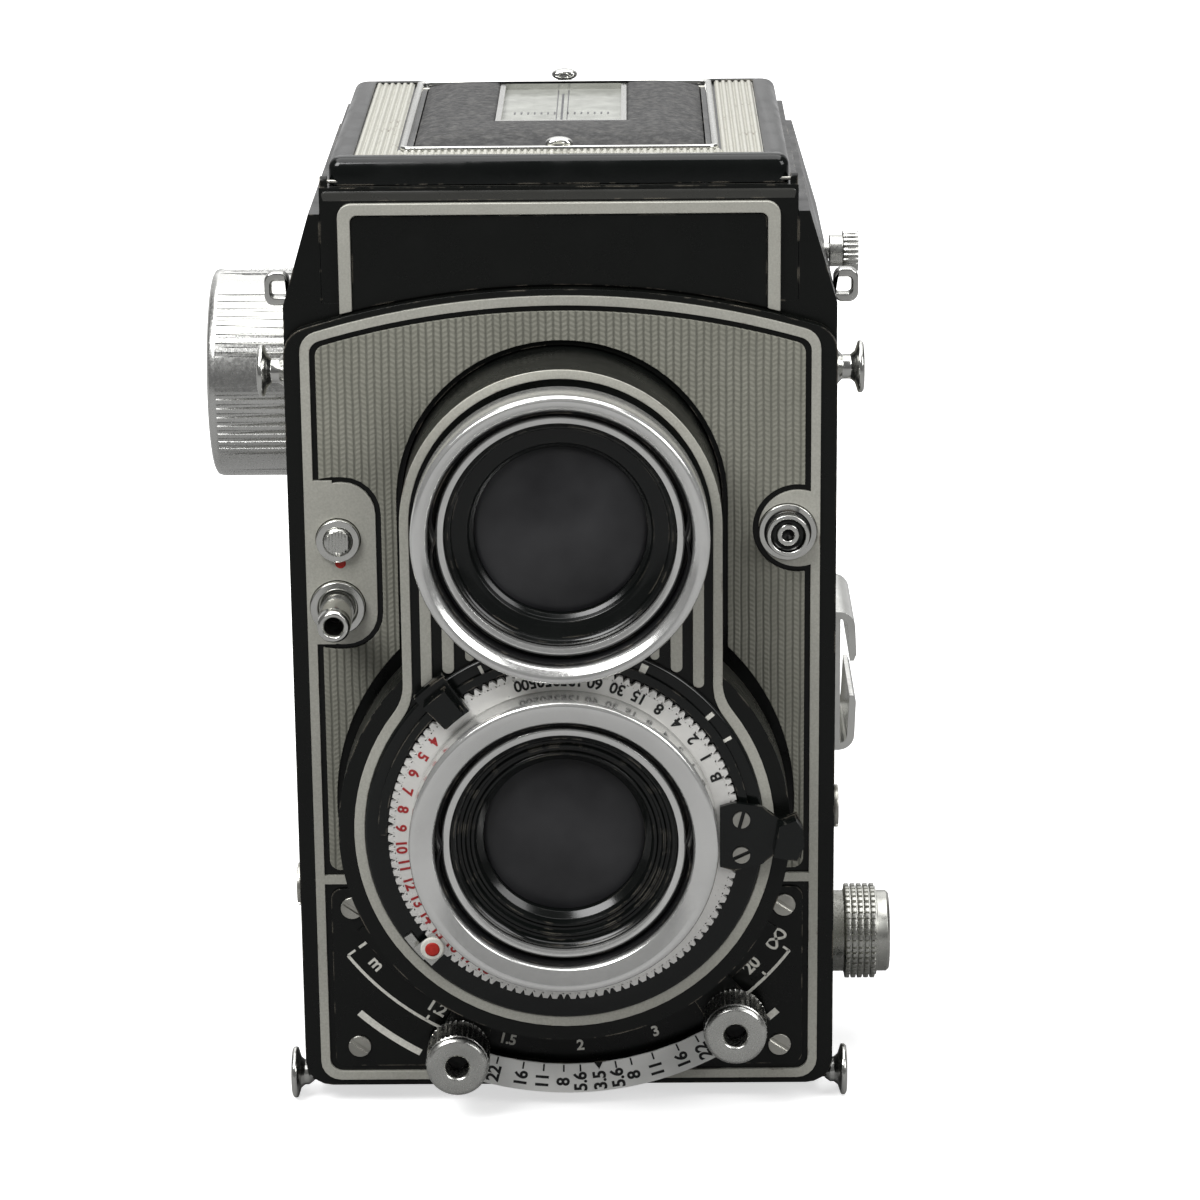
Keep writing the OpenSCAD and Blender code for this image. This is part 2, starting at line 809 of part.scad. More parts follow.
module exposure_lever() color(enamel) {
    tube_f(taking_z, 25.7, 27, board_f + 0.85, board_f + 1.4);
    facing(board_f + 0.85, board_f + 1.4) sector(26.5, 31, 216, 224);
    facing(board_f + 0.85, board_f + 3) sector(29, 31, 217, 223);
}

module self_timer_lever() color(alloy_c) {
    at = above(27.95, -126);
    facing(board_f + 0.85, board_f + 1.5) sector(27.1, 28.8, 298, 310);
    rod_f(at.x, at.y, 1.7, board_f + 1.5, board_f + 2.2);
}

// ---- Buttons ----

module release_button() color(chrome_c) {
    difference() {
        union() {
            rod_f(release_at.x, release_at.y, 2.45, casting_f - 3, release_f);
            rod_f(release_at.x, release_at.y, 3.6, casting_f - 3.4, casting_f - 2.4);
        }
        rod_f(release_at.x, release_at.y, 1.3, release_f - 6.5, release_f + 1);
    }
}

module lock_button() color(chrome_c) {
    rod_f(lock_at.x, lock_at.y, 2.05, casting_f - 3, front_f + 1.5);
    rod_f(lock_at.x, lock_at.y, 3, casting_f - 3.4, casting_f - 2.4);
}

// ---- Hood lid ----

// Folding lid: a shallow tray turned upside down, with the flap opening in it
module lid() color(enamel) {
    difference() {
        lid_shell();
        block([-31.6, lid_front + 1.6, lid_z - 1], [31.6, lid_back - 1.3, 143.45]);
        block([-21.2, -24.6, 140], [21.2, 25.1, 146]);
        block([-29.4, lid_front + 2.6, 144.3], [29.4, lid_back - 2, 146]);
    }
    rod_x(flap_hinge.x, flap_hinge.y, 0.25, -22, 22);
    rod_x(loupe_hinge.x, loupe_hinge.y, 0.4, -13, 13);
    both_sides() {
        rod_x(lid_hinge.x, lid_hinge.y, pintle_r, lid_w - 1.5, hood_w - 0.2);
        block([12.3, loupe_hinge.x - 1, loupe_hinge.y - 0.6], [31.8, loupe_hinge.x + 1, loupe_hinge.y + 0.6]);
    }
}

// Outer form of the lid with rounded upright corners and a bevelled rim
module lid_shell() {
    translate([0, 0, lid_z]) linear_extrude(lid_top - lid_z - 0.8)
        rounded([-lid_w, lid_front], [lid_w, lid_back], 1.2);
    translate([0, 0, lid_top - 0.8]) linear_extrude(0.4)
        rounded([-lid_w + 0.25, lid_front + 0.25], [lid_w - 0.25, lid_back - 0.25], 1.2);
    translate([0, 0, lid_top - 0.4]) linear_extrude(0.4)
        rounded([-lid_w + 0.8, lid_front + 0.8], [lid_w - 0.8, lid_back - 0.8], 1.2);
}

module lid_panel() color(trim_grey) {
    translate([0, 0, 144.3]) linear_extrude(0.4) difference() {
        rounded([-29.35, -31.8], [29.35, 27.4], 0.8);
        rounded([-23.3, -27.7], [23.3, 28.1], 0.8);
    }
}

module lid_bezel() color(chrome_c) {
    translate([0, 0, 144.3]) linear_extrude(0.6) difference() {
        rounded([-22.9, -27.3], [22.9, 27.4], 1.4);
        rounded([-21.9, -26.3], [21.9, 26.4], 0.9);
    }
    block([-2.1, -27.2, 144.6], [2.1, -25.2, 145.3]);
    block([-2.1, 26.9, 144.3], [2.1, 27.4, 145.9]);
    block([-2.1, 27.3, lid_top], [2.1, 28.9, 145.9]);
}

module flap() color([0.06, 0.06, 0.06]) {
    difference() {
        union() {
            translate([0, 0, 143.6]) linear_extrude(1.2) rounded([-20.4, -23.5], [20.4, 24.2], 0.6);
            rod_x(flap_hinge.x, flap_hinge.y, 0.6, -20.4, 20.4);
        }
        block([-9.7, -10.2, 143], [9.7, 22, 146]);
        rod_x(flap_hinge.x, flap_hinge.y, 0.3, -22, 22);
    }
}

module flap_window() color(glass_c) {
    block([-9.7, -10.2, 143.8], [9.7, 22, 144.6]);
}

// ---- Hood leaves and magnifier ----

// One side leaf lying flat, hinged at +X; its front end is mitred to clear the lid
module side_leaf() {
    difference() {
        union() {
            translate([0, 0, side_leaf_z - leaf_t / 2]) linear_extrude(leaf_t)
                polygon([[leaf_hinge_x, -31], [leaf_hinge_x - 5, -31], [leaf_hinge_x - leaf_len, -14],
                    [leaf_hinge_x - leaf_len, 26.6], [leaf_hinge_x, 26.6]]);
            rod_f(leaf_hinge_x, side_leaf_z, 0.75, -26.6, 31);
        }
        rod_f(leaf_hinge_x, side_leaf_z, 0.4 + run_gap, -28, 33);
    }
}

module side_leaf_right() color(enamel) side_leaf();

module side_leaf_left() color(enamel) mirror([1, 0, 0]) side_leaf();

module rear_leaf() color(enamel) {
    difference() {
        union() {
            translate([0, 0, rear_leaf_z - leaf_t / 2]) linear_extrude(leaf_t)
                polygon([[-28.4, rear_leaf_y], [28.4, rear_leaf_y], [28.4 - 0.82 * leaf_len,
                    rear_leaf_y - leaf_len], [0.82 * leaf_len - 28.4, rear_leaf_y - leaf_len]]);
            rod_x(rear_leaf_y, rear_leaf_z, 0.75, -28.4, 28.4);
        }
        rod_x(rear_leaf_y, rear_leaf_z, 0.4 + run_gap, -30, 30);
    }
}

module magnifier_frame() color(alloy_c) {
    difference() {
        union() {
            block([-12, loupe_hinge.x, 141.7], [12, 25.2, 142.9]);
            rod_x(loupe_hinge.x, loupe_hinge.y, 1, -12, 12);
        }
        translate([0, 14.2, 141]) cylinder(r = 9.6, h = 3);
        rod_x(loupe_hinge.x, loupe_hinge.y, 0.4 + run_gap, -13, 13);
    }
}

module magnifier_lens() color(glass_c) {
    translate([0, 14.2, 142.3]) rotate_extrude() polygon([[0, -0.9], [4, -0.8], [9.6, -0.4],
        [9.6, 0.4], [4, 0.8], [0, 0.9]]);
}

// ---- Film transport ----

// A film spool: core with bores at both ends and two flanges
module spool(y, z, flange_r) {
    difference() {
        union() {
            rod_x(y, z, 5.2, -spool_half, spool_half);
            for (s = [-1, 1]) rod_x(y, z, flange_r, s * spool_half - 0.6, s * spool_half + 0.6);
        }
        rod_x(y, z, pin_r + run_gap, -spool_half - 1, -20);
        rod_x(y, z, pin_r + run_gap, 20, spool_half + 1);
    }
}

module take_up_spool() color(enamel) spool(take_y, take_z, 12);

module supply_spool() color(enamel) spool(supply_y, supply_z, 12);

// Teeth in groups with smooth bands between, for the advance knob
module advance_outline() {
    circle(advance_r - 0.5);
    for (g = [0:5]) for (i = [0:8]) rotate(60 * g + 5 * i) translate([advance_r - 1, 0])
        square([2, 0.8], center = true);
}

module advance_knob() color(alloy_c) {
    translate([-40.5, take_y, take_z]) rotate([0, -90, 0]) {
        cylinder(r = 6, h = 1.4);
        translate([0, 0, 1.4]) linear_extrude(advance_len - 2.6) advance_outline();
        translate([0, 0, advance_len - 1.2]) cylinder(r1 = advance_r - 0.5, r2 = advance_r - 1.8, h = 1.2);
    }
    rod_x(take_y, take_z, pin_r, -41, -26);
}

module supply_knob() color(alloy_c) {
    rod_x(supply_y, supply_z, pin_r, 26, 41);
    rod_x(supply_y, supply_z, 6.3, 40, 42.7);
    translate([42.7, supply_y, supply_z]) rotate([0, 90, 0]) linear_extrude(4.9)
        knurl_outline(supply_knob_r, 0.4, 36);
    rod_x(supply_y, supply_z, 6.3, 47.6, 49.6);
}

module side_selector_knob() color(alloy_c) {
    rod_x(selector_at.x, selector_at.y, 1.2, hood_w + 0.2, 41);
    rod_x(selector_at.x, selector_at.y, 2.4, half_w + 0.2, 42);
    translate([42, selector_at.x, selector_at.y]) rotate([0, 90, 0]) linear_extrude(2.3)
        knurl_outline(3.1, 0.25, 24);
}

// ---- Back door ----

module back_door() color(enamel) {
    difference() {
        union() {
            facing(-door_y, -door_y + door_t) rounded([1 - half_w, underside_z], [half_w - 1, 116], 1.5);
            block([1 - half_w, -30, underside_z], [half_w - 1, door_y - 1, tray_top]);
            both_sides() block([half_w - 2.2, -30, underside_z], [half_w - 1, door_y - 1, lip_top]);
            for (x = [-13, 13]) {
                rod_x(door_hinge.x, door_hinge.y, 1.5, x - 8.7, x + 8.7);
                block([x - 8.7, door_y - door_t + 0.1, 115], [x + 8.7, door_y - 0.1, door_hinge.y]);
            }
        }
        rod_x(door_hinge.x, door_hinge.y, 0.8 + run_gap, -30, 30);
        cylinder(r = bush_r, h = 10);
    }
    door_feet();
    pressure_pad();
}

// Two round feet under the rear of the door
module door_feet() {
    both_sides() translate([30, 30, 0]) cylinder(r = 4, h = underside_z + 0.5);
}

// Flat pad that holds the film against the gate
module pressure_pad() {
    block([-31, 31.9, taking_z - 31], [31, 33.4, taking_z + 31]);
    block([-6, 33, taking_z - 20], [6, door_y - door_t + 0.5, taking_z + 20]);
}

module tripod_bush() color(chrome_c) {
    difference() {
        union() {
            cylinder(r = bush_r, h = tripod_depth + 0.6);
            translate([0, 0, tray_top]) cylinder(r = 7.5, h = 1);
        }
        translate([0, 0, -1]) cylinder(r = tripod_r, h = tripod_depth + 1);
    }
}

// Knurled ring around the tripod bush that locks the back
module latch_dial() color(alloy_c) {
    difference() {
        linear_extrude(underside_z - 0.1) knurl_outline(14, 0.5, 48);
        translate([0, 0, -1]) cylinder(r = bush_r + run_gap, h = 6);
    }
}

body_casting();
front_plate();
front_trim();
front_covering();
distance_plate();
case_screws();
side_coverings();
helicoid_tube();
button_bushes();
sync_socket();
strap_loops();
strap_studs();
accessory_shoe();
hood_frame();
name_plate();
name_plate_trim();
focusing_screen();
reflex_mirror();
mirror_cradle();
film_gate();
spool_pins();
hinge_pins();
upper_roller();
lower_roller();
lens_board();
board_trim();
viewing_barrel();
viewing_bezel();
viewing_glass();
shutter_housing();
taking_barrel();
taking_bezel();
taking_glass();
aperture_blades();
shutter_blades();
focus_ring();
focus_knobs();
speed_ring();
exposure_lever();
self_timer_lever();
release_button();
lock_button();
lid();
lid_panel();
lid_bezel();
flap();
flap_window();
side_leaf_left();
side_leaf_right();
rear_leaf();
magnifier_frame();
magnifier_lens();
advance_knob();
take_up_spool();
supply_spool();
supply_knob();
side_selector_knob();
back_door();
tripod_bush();
latch_dial();
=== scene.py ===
"""Looks of a twin lens reflex camera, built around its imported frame.

Lengths in the tables below are millimetres; MM turns them into the frame's metres. "Forward" is -Y.
"""
import json
import math

import bmesh
import bpy
from mathutils import Matrix, Vector


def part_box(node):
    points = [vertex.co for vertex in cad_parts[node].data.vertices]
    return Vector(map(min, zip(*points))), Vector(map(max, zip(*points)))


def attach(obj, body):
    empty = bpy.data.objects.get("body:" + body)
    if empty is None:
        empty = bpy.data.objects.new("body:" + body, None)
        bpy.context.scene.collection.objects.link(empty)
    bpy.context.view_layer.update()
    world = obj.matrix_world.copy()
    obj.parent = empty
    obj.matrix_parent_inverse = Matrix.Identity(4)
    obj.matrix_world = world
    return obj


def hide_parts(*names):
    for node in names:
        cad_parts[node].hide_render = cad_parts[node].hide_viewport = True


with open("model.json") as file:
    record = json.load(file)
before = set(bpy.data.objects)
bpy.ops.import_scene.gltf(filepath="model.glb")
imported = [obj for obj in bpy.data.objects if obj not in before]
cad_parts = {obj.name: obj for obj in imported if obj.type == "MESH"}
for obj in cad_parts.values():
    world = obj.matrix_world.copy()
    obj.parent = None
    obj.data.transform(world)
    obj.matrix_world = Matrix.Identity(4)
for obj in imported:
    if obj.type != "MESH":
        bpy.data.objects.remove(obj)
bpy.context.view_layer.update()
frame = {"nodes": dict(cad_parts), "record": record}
MM = 0.001
BODY_OF = {n: b for b, members in frame["record"]["behaviour"]["bodies"].items() for n in members}
SLOT_OF = {s["node"]: s["material_slot"] for s in frame["record"]["subparts"]}


def middle(node):
    low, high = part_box(node)
    return (low + high) / 2 / MM


def front_of(node):
    """How far forward a node reaches, in mm."""
    return -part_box(node)[0].y / MM


TAKING_Z = middle("taking_bezel").z
VIEWING_Z = middle("viewing_bezel").z
BOARD_F = front_of("lens_board")
PLATE_F = front_of("front_plate")
TRIM_F = front_of("front_trim")
PANEL_F = PLATE_F + 0.4
BAND_F = TRIM_F + 1.5


# ---------------------------------------------------------------- materials

LOOKS = {}


class Shader:
    """Builds one node material around a Principled BSDF and keeps it in LOOKS by name."""

    def __init__(self, name, **inputs):
        self.material = LOOKS[name] = bpy.data.materials.new(name)
        self.material.use_nodes = True
        self.tree = self.material.node_tree
        self.bsdf = self.tree.nodes["Principled BSDF"]
        self.coords = self.add("ShaderNodeTexCoord").outputs["Object"]
        self.normal = None
        for key, value in inputs.items():
            self.put(key.replace("_", " "), value)

    def add(self, kind, **props):
        made = self.tree.nodes.new(kind)
        for key, value in props.items():
            setattr(made, key, value)
        return made

    def feed(self, socket, value):
        if isinstance(value, bpy.types.NodeSocket):
            self.tree.links.new(value, socket)
        elif isinstance(value, (tuple, list)) and len(value) == 3 and socket.type == "RGBA":
            socket.default_value = (*value, 1)
        else:
            socket.default_value = value

    def put(self, name, value):
        self.feed(self.bsdf.inputs[name], value)

    def math(self, operation, a, b=0.0, c=0.0, clamp=False):
        made = self.add("ShaderNodeMath", operation=operation, use_clamp=clamp)
        for socket, value in zip(made.inputs, (a, b, c)):
            self.feed(socket, value)
        return made.outputs[0]

    def noise(self, size_mm, detail=4.0, roughness=0.55):
        mapping = self.add("ShaderNodeMapping")
        self.feed(mapping.inputs["Vector"], self.coords)
        mapping.inputs["Scale"].default_value = [1 / (size_mm * MM)] * 3
        made = self.add("ShaderNodeTexNoise")
        self.feed(made.inputs["Vector"], mapping.outputs[0])
        made.inputs["Scale"].default_value = 1.0
        made.inputs["Detail"].default_value = detail
        made.inputs["Roughness"].default_value = roughness
        return made.outputs["Fac"]

    def cells(self, size_mm):
        made = self.add("ShaderNodeTexVoronoi", feature="F1")
        self.feed(made.inputs["Vector"], self.coords)
        made.inputs["Scale"].default_value = 1 / (size_mm * MM)
        return made.outputs["Distance"]

    def between(self, value, low, high, out_low=0.0, out_high=1.0):
        made = self.add("ShaderNodeMapRange", clamp=True)
        self.feed(made.inputs["Value"], value)
        made.inputs["From Min"].default_value = low
        made.inputs["From Max"].default_value = high
        made.inputs["To Min"].default_value = out_low
        made.inputs["To Max"].default_value = out_high
        return made.outputs[0]

    def mix(self, factor, a, b):
        made = self.add("ShaderNodeMix", data_type="RGBA")
        self.feed(made.inputs[0], factor)
        self.feed(made.inputs[6], a)
        self.feed(made.inputs[7], b)
        return made.outputs[2]

    def edges(self, radius_mm):
        """1 on convex and concave edges, 0 on flat faces."""
        bevel = self.add("ShaderNodeBevel", samples=4)
        bevel.inputs["Radius"].default_value = radius_mm * MM
        plain = self.add("ShaderNodeNewGeometry")
        dot = self.add("ShaderNodeVectorMath", operation="DOT_PRODUCT")
        self.feed(dot.inputs[0], bevel.outputs[0])
        self.feed(dot.inputs[1], plain.outputs["Normal"])
        return self.between(dot.outputs["Value"], 0.98, 0.8)

    def bump(self, height, depth_mm, strength=1.0):
        made = self.add("ShaderNodeBump")
        made.inputs["Distance"].default_value = depth_mm * MM
        made.inputs["Strength"].default_value = strength
        self.feed(made.inputs["Height"], height)
        if self.normal is not None:
            self.feed(made.inputs["Normal"], self.normal)
        self.normal = made.outputs[0]
        self.put("Normal", self.normal)

    def axis_part(self, index):
        split = self.add("ShaderNodeSeparateXYZ")
        self.feed(split.inputs[0], self.coords)
        return split.outputs[index]


def enamel(name, base, rough, wear, bare=(0.30, 0.27, 0.22), shine=0.4):
    """Black paint on metal: slight orange peel, dust, and bare metal showing through at edges."""
    s = Shader(name, Specular_IOR_Level=shine)
    patches = s.between(s.noise(3.5, 5), 0.52, 0.62)
    rubbed = s.math("MULTIPLY", s.edges(0.35), patches)
    worn = s.math("MULTIPLY", rubbed, wear, clamp=True)
    dust = s.between(s.noise(0.5, 3, 0.7), 0.62, 0.8, 0, 0.15)
    paint = s.mix(dust, base, tuple(c * 1.6 + 0.02 for c in base))
    s.put("Base Color", s.mix(worn, paint, bare))
    s.put("Metallic", s.math("MULTIPLY", worn, 0.8))
    s.put("Roughness", s.between(s.noise(6, 6), 0.3, 0.7, rough - 0.07, rough + 0.12))
    s.bump(s.noise(0.35, 3), 0.01, 0.35)


def metal(name, base, rough, turned=None, dull=0.5, metallic=1.0):
    """Bright metal. turned is (axis, centre) for fine lathe lines; otherwise the grain is even."""
    s = Shader(name, Metallic=metallic)
    stain = s.between(s.noise(7, 6, 0.6), 0.45, 0.75, 0, dull)
    s.put("Base Color", s.mix(stain, base, tuple(c * 0.62 for c in base)))
    fine = s.noise(0.5, 4)
    s.put("Roughness", s.math("ADD", s.between(fine, 0.3, 0.7, rough * 0.8, rough * 1.25),
                              s.math("MULTIPLY", stain, 0.12)))
    if turned is not None:
        axis, centre = turned
        others = [i for i in range(3) if i != axis]
        parts = [s.math("SUBTRACT", s.axis_part(i), centre[i] * MM) for i in others]
        radius = s.math("SQRT", s.math("ADD", s.math("MULTIPLY", parts[0], parts[0]),
                                       s.math("MULTIPLY", parts[1], parts[1])))
        rings_per_m, lines_per_m = 9000.0, 5000.0
        combine = s.add("ShaderNodeCombineXYZ")
        s.feed(combine.inputs[0], s.math("MULTIPLY", radius, rings_per_m))
        s.feed(combine.inputs[1], s.math("MULTIPLY", s.axis_part(axis), lines_per_m))
        lines = s.add("ShaderNodeTexNoise")
        s.feed(lines.inputs["Vector"], combine.outputs[0])
        lines.inputs["Scale"].default_value = 1.0
        s.bump(lines.outputs["Fac"], 0.004, 0.3)
    s.bump(s.noise(1.2, 4), 0.006, 0.35)


def trim_metal():
    """Warm grey lacquered metal with rust creeping in from the edges."""
    s = Shader("grey_trim", Metallic=0.45)
    grain = s.noise(0.3, 4, 0.6)
    base = s.mix(s.between(grain, 0.3, 0.7), (0.43, 0.425, 0.375), (0.53, 0.525, 0.47))
    spots = s.math("MULTIPLY", s.edges(0.5), s.between(s.noise(4.5, 6, 0.65), 0.6, 0.68))
    s.put("Base Color", s.mix(spots, base, (0.075, 0.032, 0.014)))
    s.put("Roughness", s.between(s.noise(2.5, 5), 0.3, 0.7, 0.38, 0.55))
    s.bump(grain, 0.015, 0.5)


def chevron_cover():
    """Woven-look covering: fine upright grooves with faint chevrons between them, the grooves and dips
    darkened with painted shade.
    """
    s = Shader("covering", Specular_IOR_Level=0.3)
    column_mm, row_mm, swing_mm = 2.15, 0.75, 0.55
    x = s.math("DIVIDE", s.axis_part(0), column_mm * MM)
    z = s.math("DIVIDE", s.axis_part(2), MM)
    y = s.math("DIVIDE", s.axis_part(1), column_mm * MM)
    across = s.math("ADD", s.math("ADD", x, y), s.math("MULTIPLY", s.noise(7, 2), 0.12))
    zigzag = s.math("MULTIPLY", s.math("PINGPONG", across, 0.5), 2 * swing_mm)
    wobble = s.math("MULTIPLY", s.noise(2.2, 3), 0.35)
    row = s.math("DIVIDE", s.math("ADD", s.math("ADD", z, zigzag), wobble), row_mm)
    ridge = s.math("MULTIPLY_ADD", s.math("SINE", s.math("MULTIPLY", row, 2 * math.pi)), 0.5, 0.5)
    to_groove = s.math("PINGPONG", s.math("MULTIPLY", across, 2), 0.5)
    groove = s.between(to_groove, 0.04, 0.24)
    weave = s.math("MULTIPLY_ADD", ridge, 0.34, 0.66)
    height = s.math("MULTIPLY", weave, groove)
    mottled = s.noise(0.6, 5, 0.65)
    # base colour follows the weave's height: grooves and the dips between rows take the darker colour as
    # painted shade, ridges the lighter one; the mottling within each is the covering's own tone
    low = s.mix(s.between(mottled, 0.3, 0.7), (0.115, 0.115, 0.095), (0.15, 0.15, 0.125))
    high = s.mix(s.between(s.noise(9, 4), 0.35, 0.65), (0.235, 0.233, 0.195), (0.275, 0.272, 0.23))
    s.put("Base Color", s.mix(height, low, high))
    s.put("Roughness", s.between(mottled, 0.3, 0.7, 0.45, 0.65))
    s.bump(height, 0.10, 0.9)
    s.bump(mottled, 0.03, 0.6)


def leatherette():
    """Fine black grain."""
    s = Shader("leatherette", Specular_IOR_Level=0.45)
    pebbles = s.cells(0.9)
    creases = s.noise(1.8, 6, 0.65)
    dusty = s.between(creases, 0.45, 0.75)
    s.put("Base Color", s.mix(dusty, (0.012, 0.012, 0.012), (0.075, 0.073, 0.068)))
    s.put("Roughness", s.between(s.noise(0.8, 4), 0.3, 0.7, 0.42, 0.65))
    s.bump(pebbles, 0.12, 0.6)
    s.bump(creases, 0.25, 0.7)


def lens_glass():
    """Coated glass over a dark barrel: a soft lighter cloud near the middle and a few specks of dust."""
    s = Shader("lens_glass", Specular_IOR_Level=0.35)
    facing = s.add("ShaderNodeLayerWeight")
    facing.inputs["Blend"].default_value = 0.3
    cloud = s.between(s.noise(11, 3, 0.45), 0.3, 0.75)
    deep = s.mix(cloud, (0.009, 0.009, 0.010), (0.033, 0.033, 0.035))
    s.put("Base Color", s.mix(facing.outputs["Facing"], deep, (0.006, 0.006, 0.009)))
    specks = s.between(s.noise(0.3, 2, 0.8), 0.76, 0.8, 0, 0.4)
    s.put("Roughness", s.math("ADD", s.between(cloud, 0, 1, 0.30, 0.42), specks))
    s.put("Coat Weight", 0.2)
    s.put("Coat Roughness", 0.2)


def clear_pane(name, tint, see_through):
    """Thin pane: mostly see-through, slightly scratched and greyed."""
    s = Shader(name, Specular_IOR_Level=0.5)
    haze = s.between(s.noise(4, 5), 0.35, 0.7)
    s.put("Base Color", s.mix(haze, tint, tuple(c * 0.7 for c in tint)))
    s.put("Roughness", s.between(s.noise(1.5, 5), 0.3, 0.7, 0.08, 0.25))
    s.put("Alpha", s.between(haze, 0, 1, 1 - see_through, 1 - see_through * 0.8))
    s.bump(s.noise(0.8, 4), 0.01, 0.3)


def mirror_silver():
    s = Shader("mirror_glass", Metallic=1.0, Base_Color=(0.86, 0.88, 0.88))
    s.put("Roughness", s.between(s.noise(6, 5), 0.4, 0.8, 0.02, 0.12))


def marking(name, base):
    """Filled engraving or print, a little patchy."""
    s = Shader(name, Specular_IOR_Level=0.3)
    patch = s.between(s.noise(0.6, 5, 0.7), 0.35, 0.7)
    s.put("Base Color", s.mix(patch, base, tuple(c * 0.72 for c in base)))
    s.put("Roughness", s.between(patch, 0, 1, 0.45, 0.65))
    s.bump(s.noise(0.3, 3), 0.01, 0.4)


LENS_TURNED = (1, (0, 0, TAKING_Z))
VIEW_TURNED = (1, (0, 0, VIEWING_Z))
SIDE_TURNED = (0, tuple(middle("advance_knob")))
SUPPLY_TURNED = (0, tuple(middle("supply_knob")))
enamel("black_enamel", (0.003, 0.0035, 0.003), 0.28, 1.0, shine=0.28)
enamel("gloss_black", (0.003, 0.0038, 0.0035), 0.14, 0.9)
enamel("matt_black", (0.004, 0.004, 0.0045), 0.4, 0.5, shine=0.22)
enamel("spool_black", (0.012, 0.012, 0.012), 0.5, 0.2)
# lighter than the other blacks: a painted sheen standing for the highlight on the hood's bead; the bare
# metal at its edges is wear, as on the other enamels
enamel("wear_and_sheen_black", (0.035, 0.035, 0.032), 0.24, 1.0)
trim_metal()
chevron_cover()
leatherette()
lens_glass()
mirror_silver()
clear_pane("screen_glass", (0.62, 0.64, 0.62), 0.35)
clear_pane("pane", (0.44, 0.45, 0.41), 0.12)
metal("alloy", (0.66, 0.66, 0.63), 0.26)
metal("chrome", (0.74, 0.74, 0.71), 0.17)
metal("steel_screws", (0.56, 0.55, 0.50), 0.3, dull=0.9)
metal("blade_steel", (0.12, 0.12, 0.13), 0.35)
metal("chrome_taking", (0.86, 0.86, 0.84), 0.2, LENS_TURNED, 0.25, 0.86)
metal("chrome_viewing", (0.86, 0.86, 0.84), 0.2, VIEW_TURNED, 0.25, 0.86)
metal("alloy_dial", (0.84, 0.83, 0.80), 0.34, LENS_TURNED, 0.3, 0.55)
metal("depth_band", (0.90, 0.90, 0.87), 0.36, LENS_TURNED, 0.3, 0.3)
metal("alloy_side", (0.74, 0.74, 0.72), 0.24, SIDE_TURNED, 0.25)
metal("alloy_supply", (0.60, 0.60, 0.56), 0.28, SUPPLY_TURNED, 0.8)
marking("white_fill", (0.80, 0.79, 0.72))
marking("black_fill", (0.015, 0.015, 0.015))
marking("red_fill", (0.36, 0.028, 0.03))
marking("red_dot", (0.52, 0.03, 0.02))


# ---------------------------------------------------------------- meshes

def put_in_scene(name, data):
    made = bpy.data.objects.new(name, data)
    bpy.context.scene.collection.objects.link(made)
    return made


def mesh_from(bm, name):
    mesh = bpy.data.meshes.new(name)
    bm.to_mesh(mesh)
    bm.free()
    return mesh


def link(name, mesh, body, look, nodes=()):
    """Adds a finished mesh as a piece that rides on a body."""
    piece = put_in_scene(name, mesh)
    mesh.materials.clear()
    mesh.materials.append(LOOKS[look])
    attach(piece, body)
    if nodes:
        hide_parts(*nodes)
    return piece


def smooth(mesh, angle=38):
    mesh.shade_smooth()
    mesh.set_sharp_from_angle(angle=math.radians(angle))


def piece_from(bm, name, body, look, nodes=(), angle=38):
    """Turns a finished bmesh into a piece with smooth shading up to an angle in degrees."""
    bmesh.ops.recalc_face_normals(bm, faces=bm.faces)
    mesh = mesh_from(bm, name)
    smooth(mesh, angle)
    link(name, mesh, body, look, nodes)


def round_edges(bm, edges, width_mm):
    bmesh.ops.bevel(bm, geom=edges, offset=width_mm * MM, offset_type="OFFSET", segments=2,
                    profile=0.5, affect="EDGES", clamp_overlap=True)


def soften(node, width_mm, split=False):
    """A node's own form with its hard edges rounded, standing for that node.

    split cuts faces of more than four corners first, where the rounding would tear them.
    """
    weld_mm, flat, sharp = 0.002, math.radians(0.6), math.radians(32)
    bm = bmesh.new()
    bm.from_mesh(frame["nodes"][node].data)
    bmesh.ops.remove_doubles(bm, verts=bm.verts, dist=weld_mm * MM)
    bmesh.ops.dissolve_degenerate(bm, dist=0.5 * weld_mm * MM, edges=bm.edges)
    bmesh.ops.dissolve_limit(bm, angle_limit=flat, verts=bm.verts, edges=bm.edges)
    if split:
        bmesh.ops.triangulate(bm, faces=[f for f in bm.faces if len(f.verts) > 4])
    round_edges(bm, [e for e in bm.edges if e.calc_face_angle(0) > sharp], width_mm)
    bmesh.ops.remove_doubles(bm, verts=bm.verts, dist=weld_mm * MM)
    mesh = mesh_from(bm, node + "_form")
    smooth(mesh)
    slot = SLOT_OF[node]
    piece = link(node + "_form", mesh, BODY_OF[node], slot, [node])
    weighted = piece.modifiers.new("even_normals", "WEIGHTED_NORMAL")
    weighted.keep_sharp = True


def fillet(points, radius):
    """Cuts each corner of a closed profile with a short three-point arc."""
    out = []
    count = len(points)
    for i, p in enumerate(points):
        here = Vector(p)
        before = Vector(points[i - 1]) - here
        after = Vector(points[(i + 1) % count]) - here
        cut = min(radius, before.length * 0.45, after.length * 0.45)
        if here.x < 1e-6 or cut < 0.01 or abs(before.normalized().cross(after.normalized())) < 0.05:
            out.append(here)
            continue
        a = here + before.normalized() * cut
        b = here + after.normalized() * cut
        out += [a, (a + b) / 4 + here / 2, b]
    return out


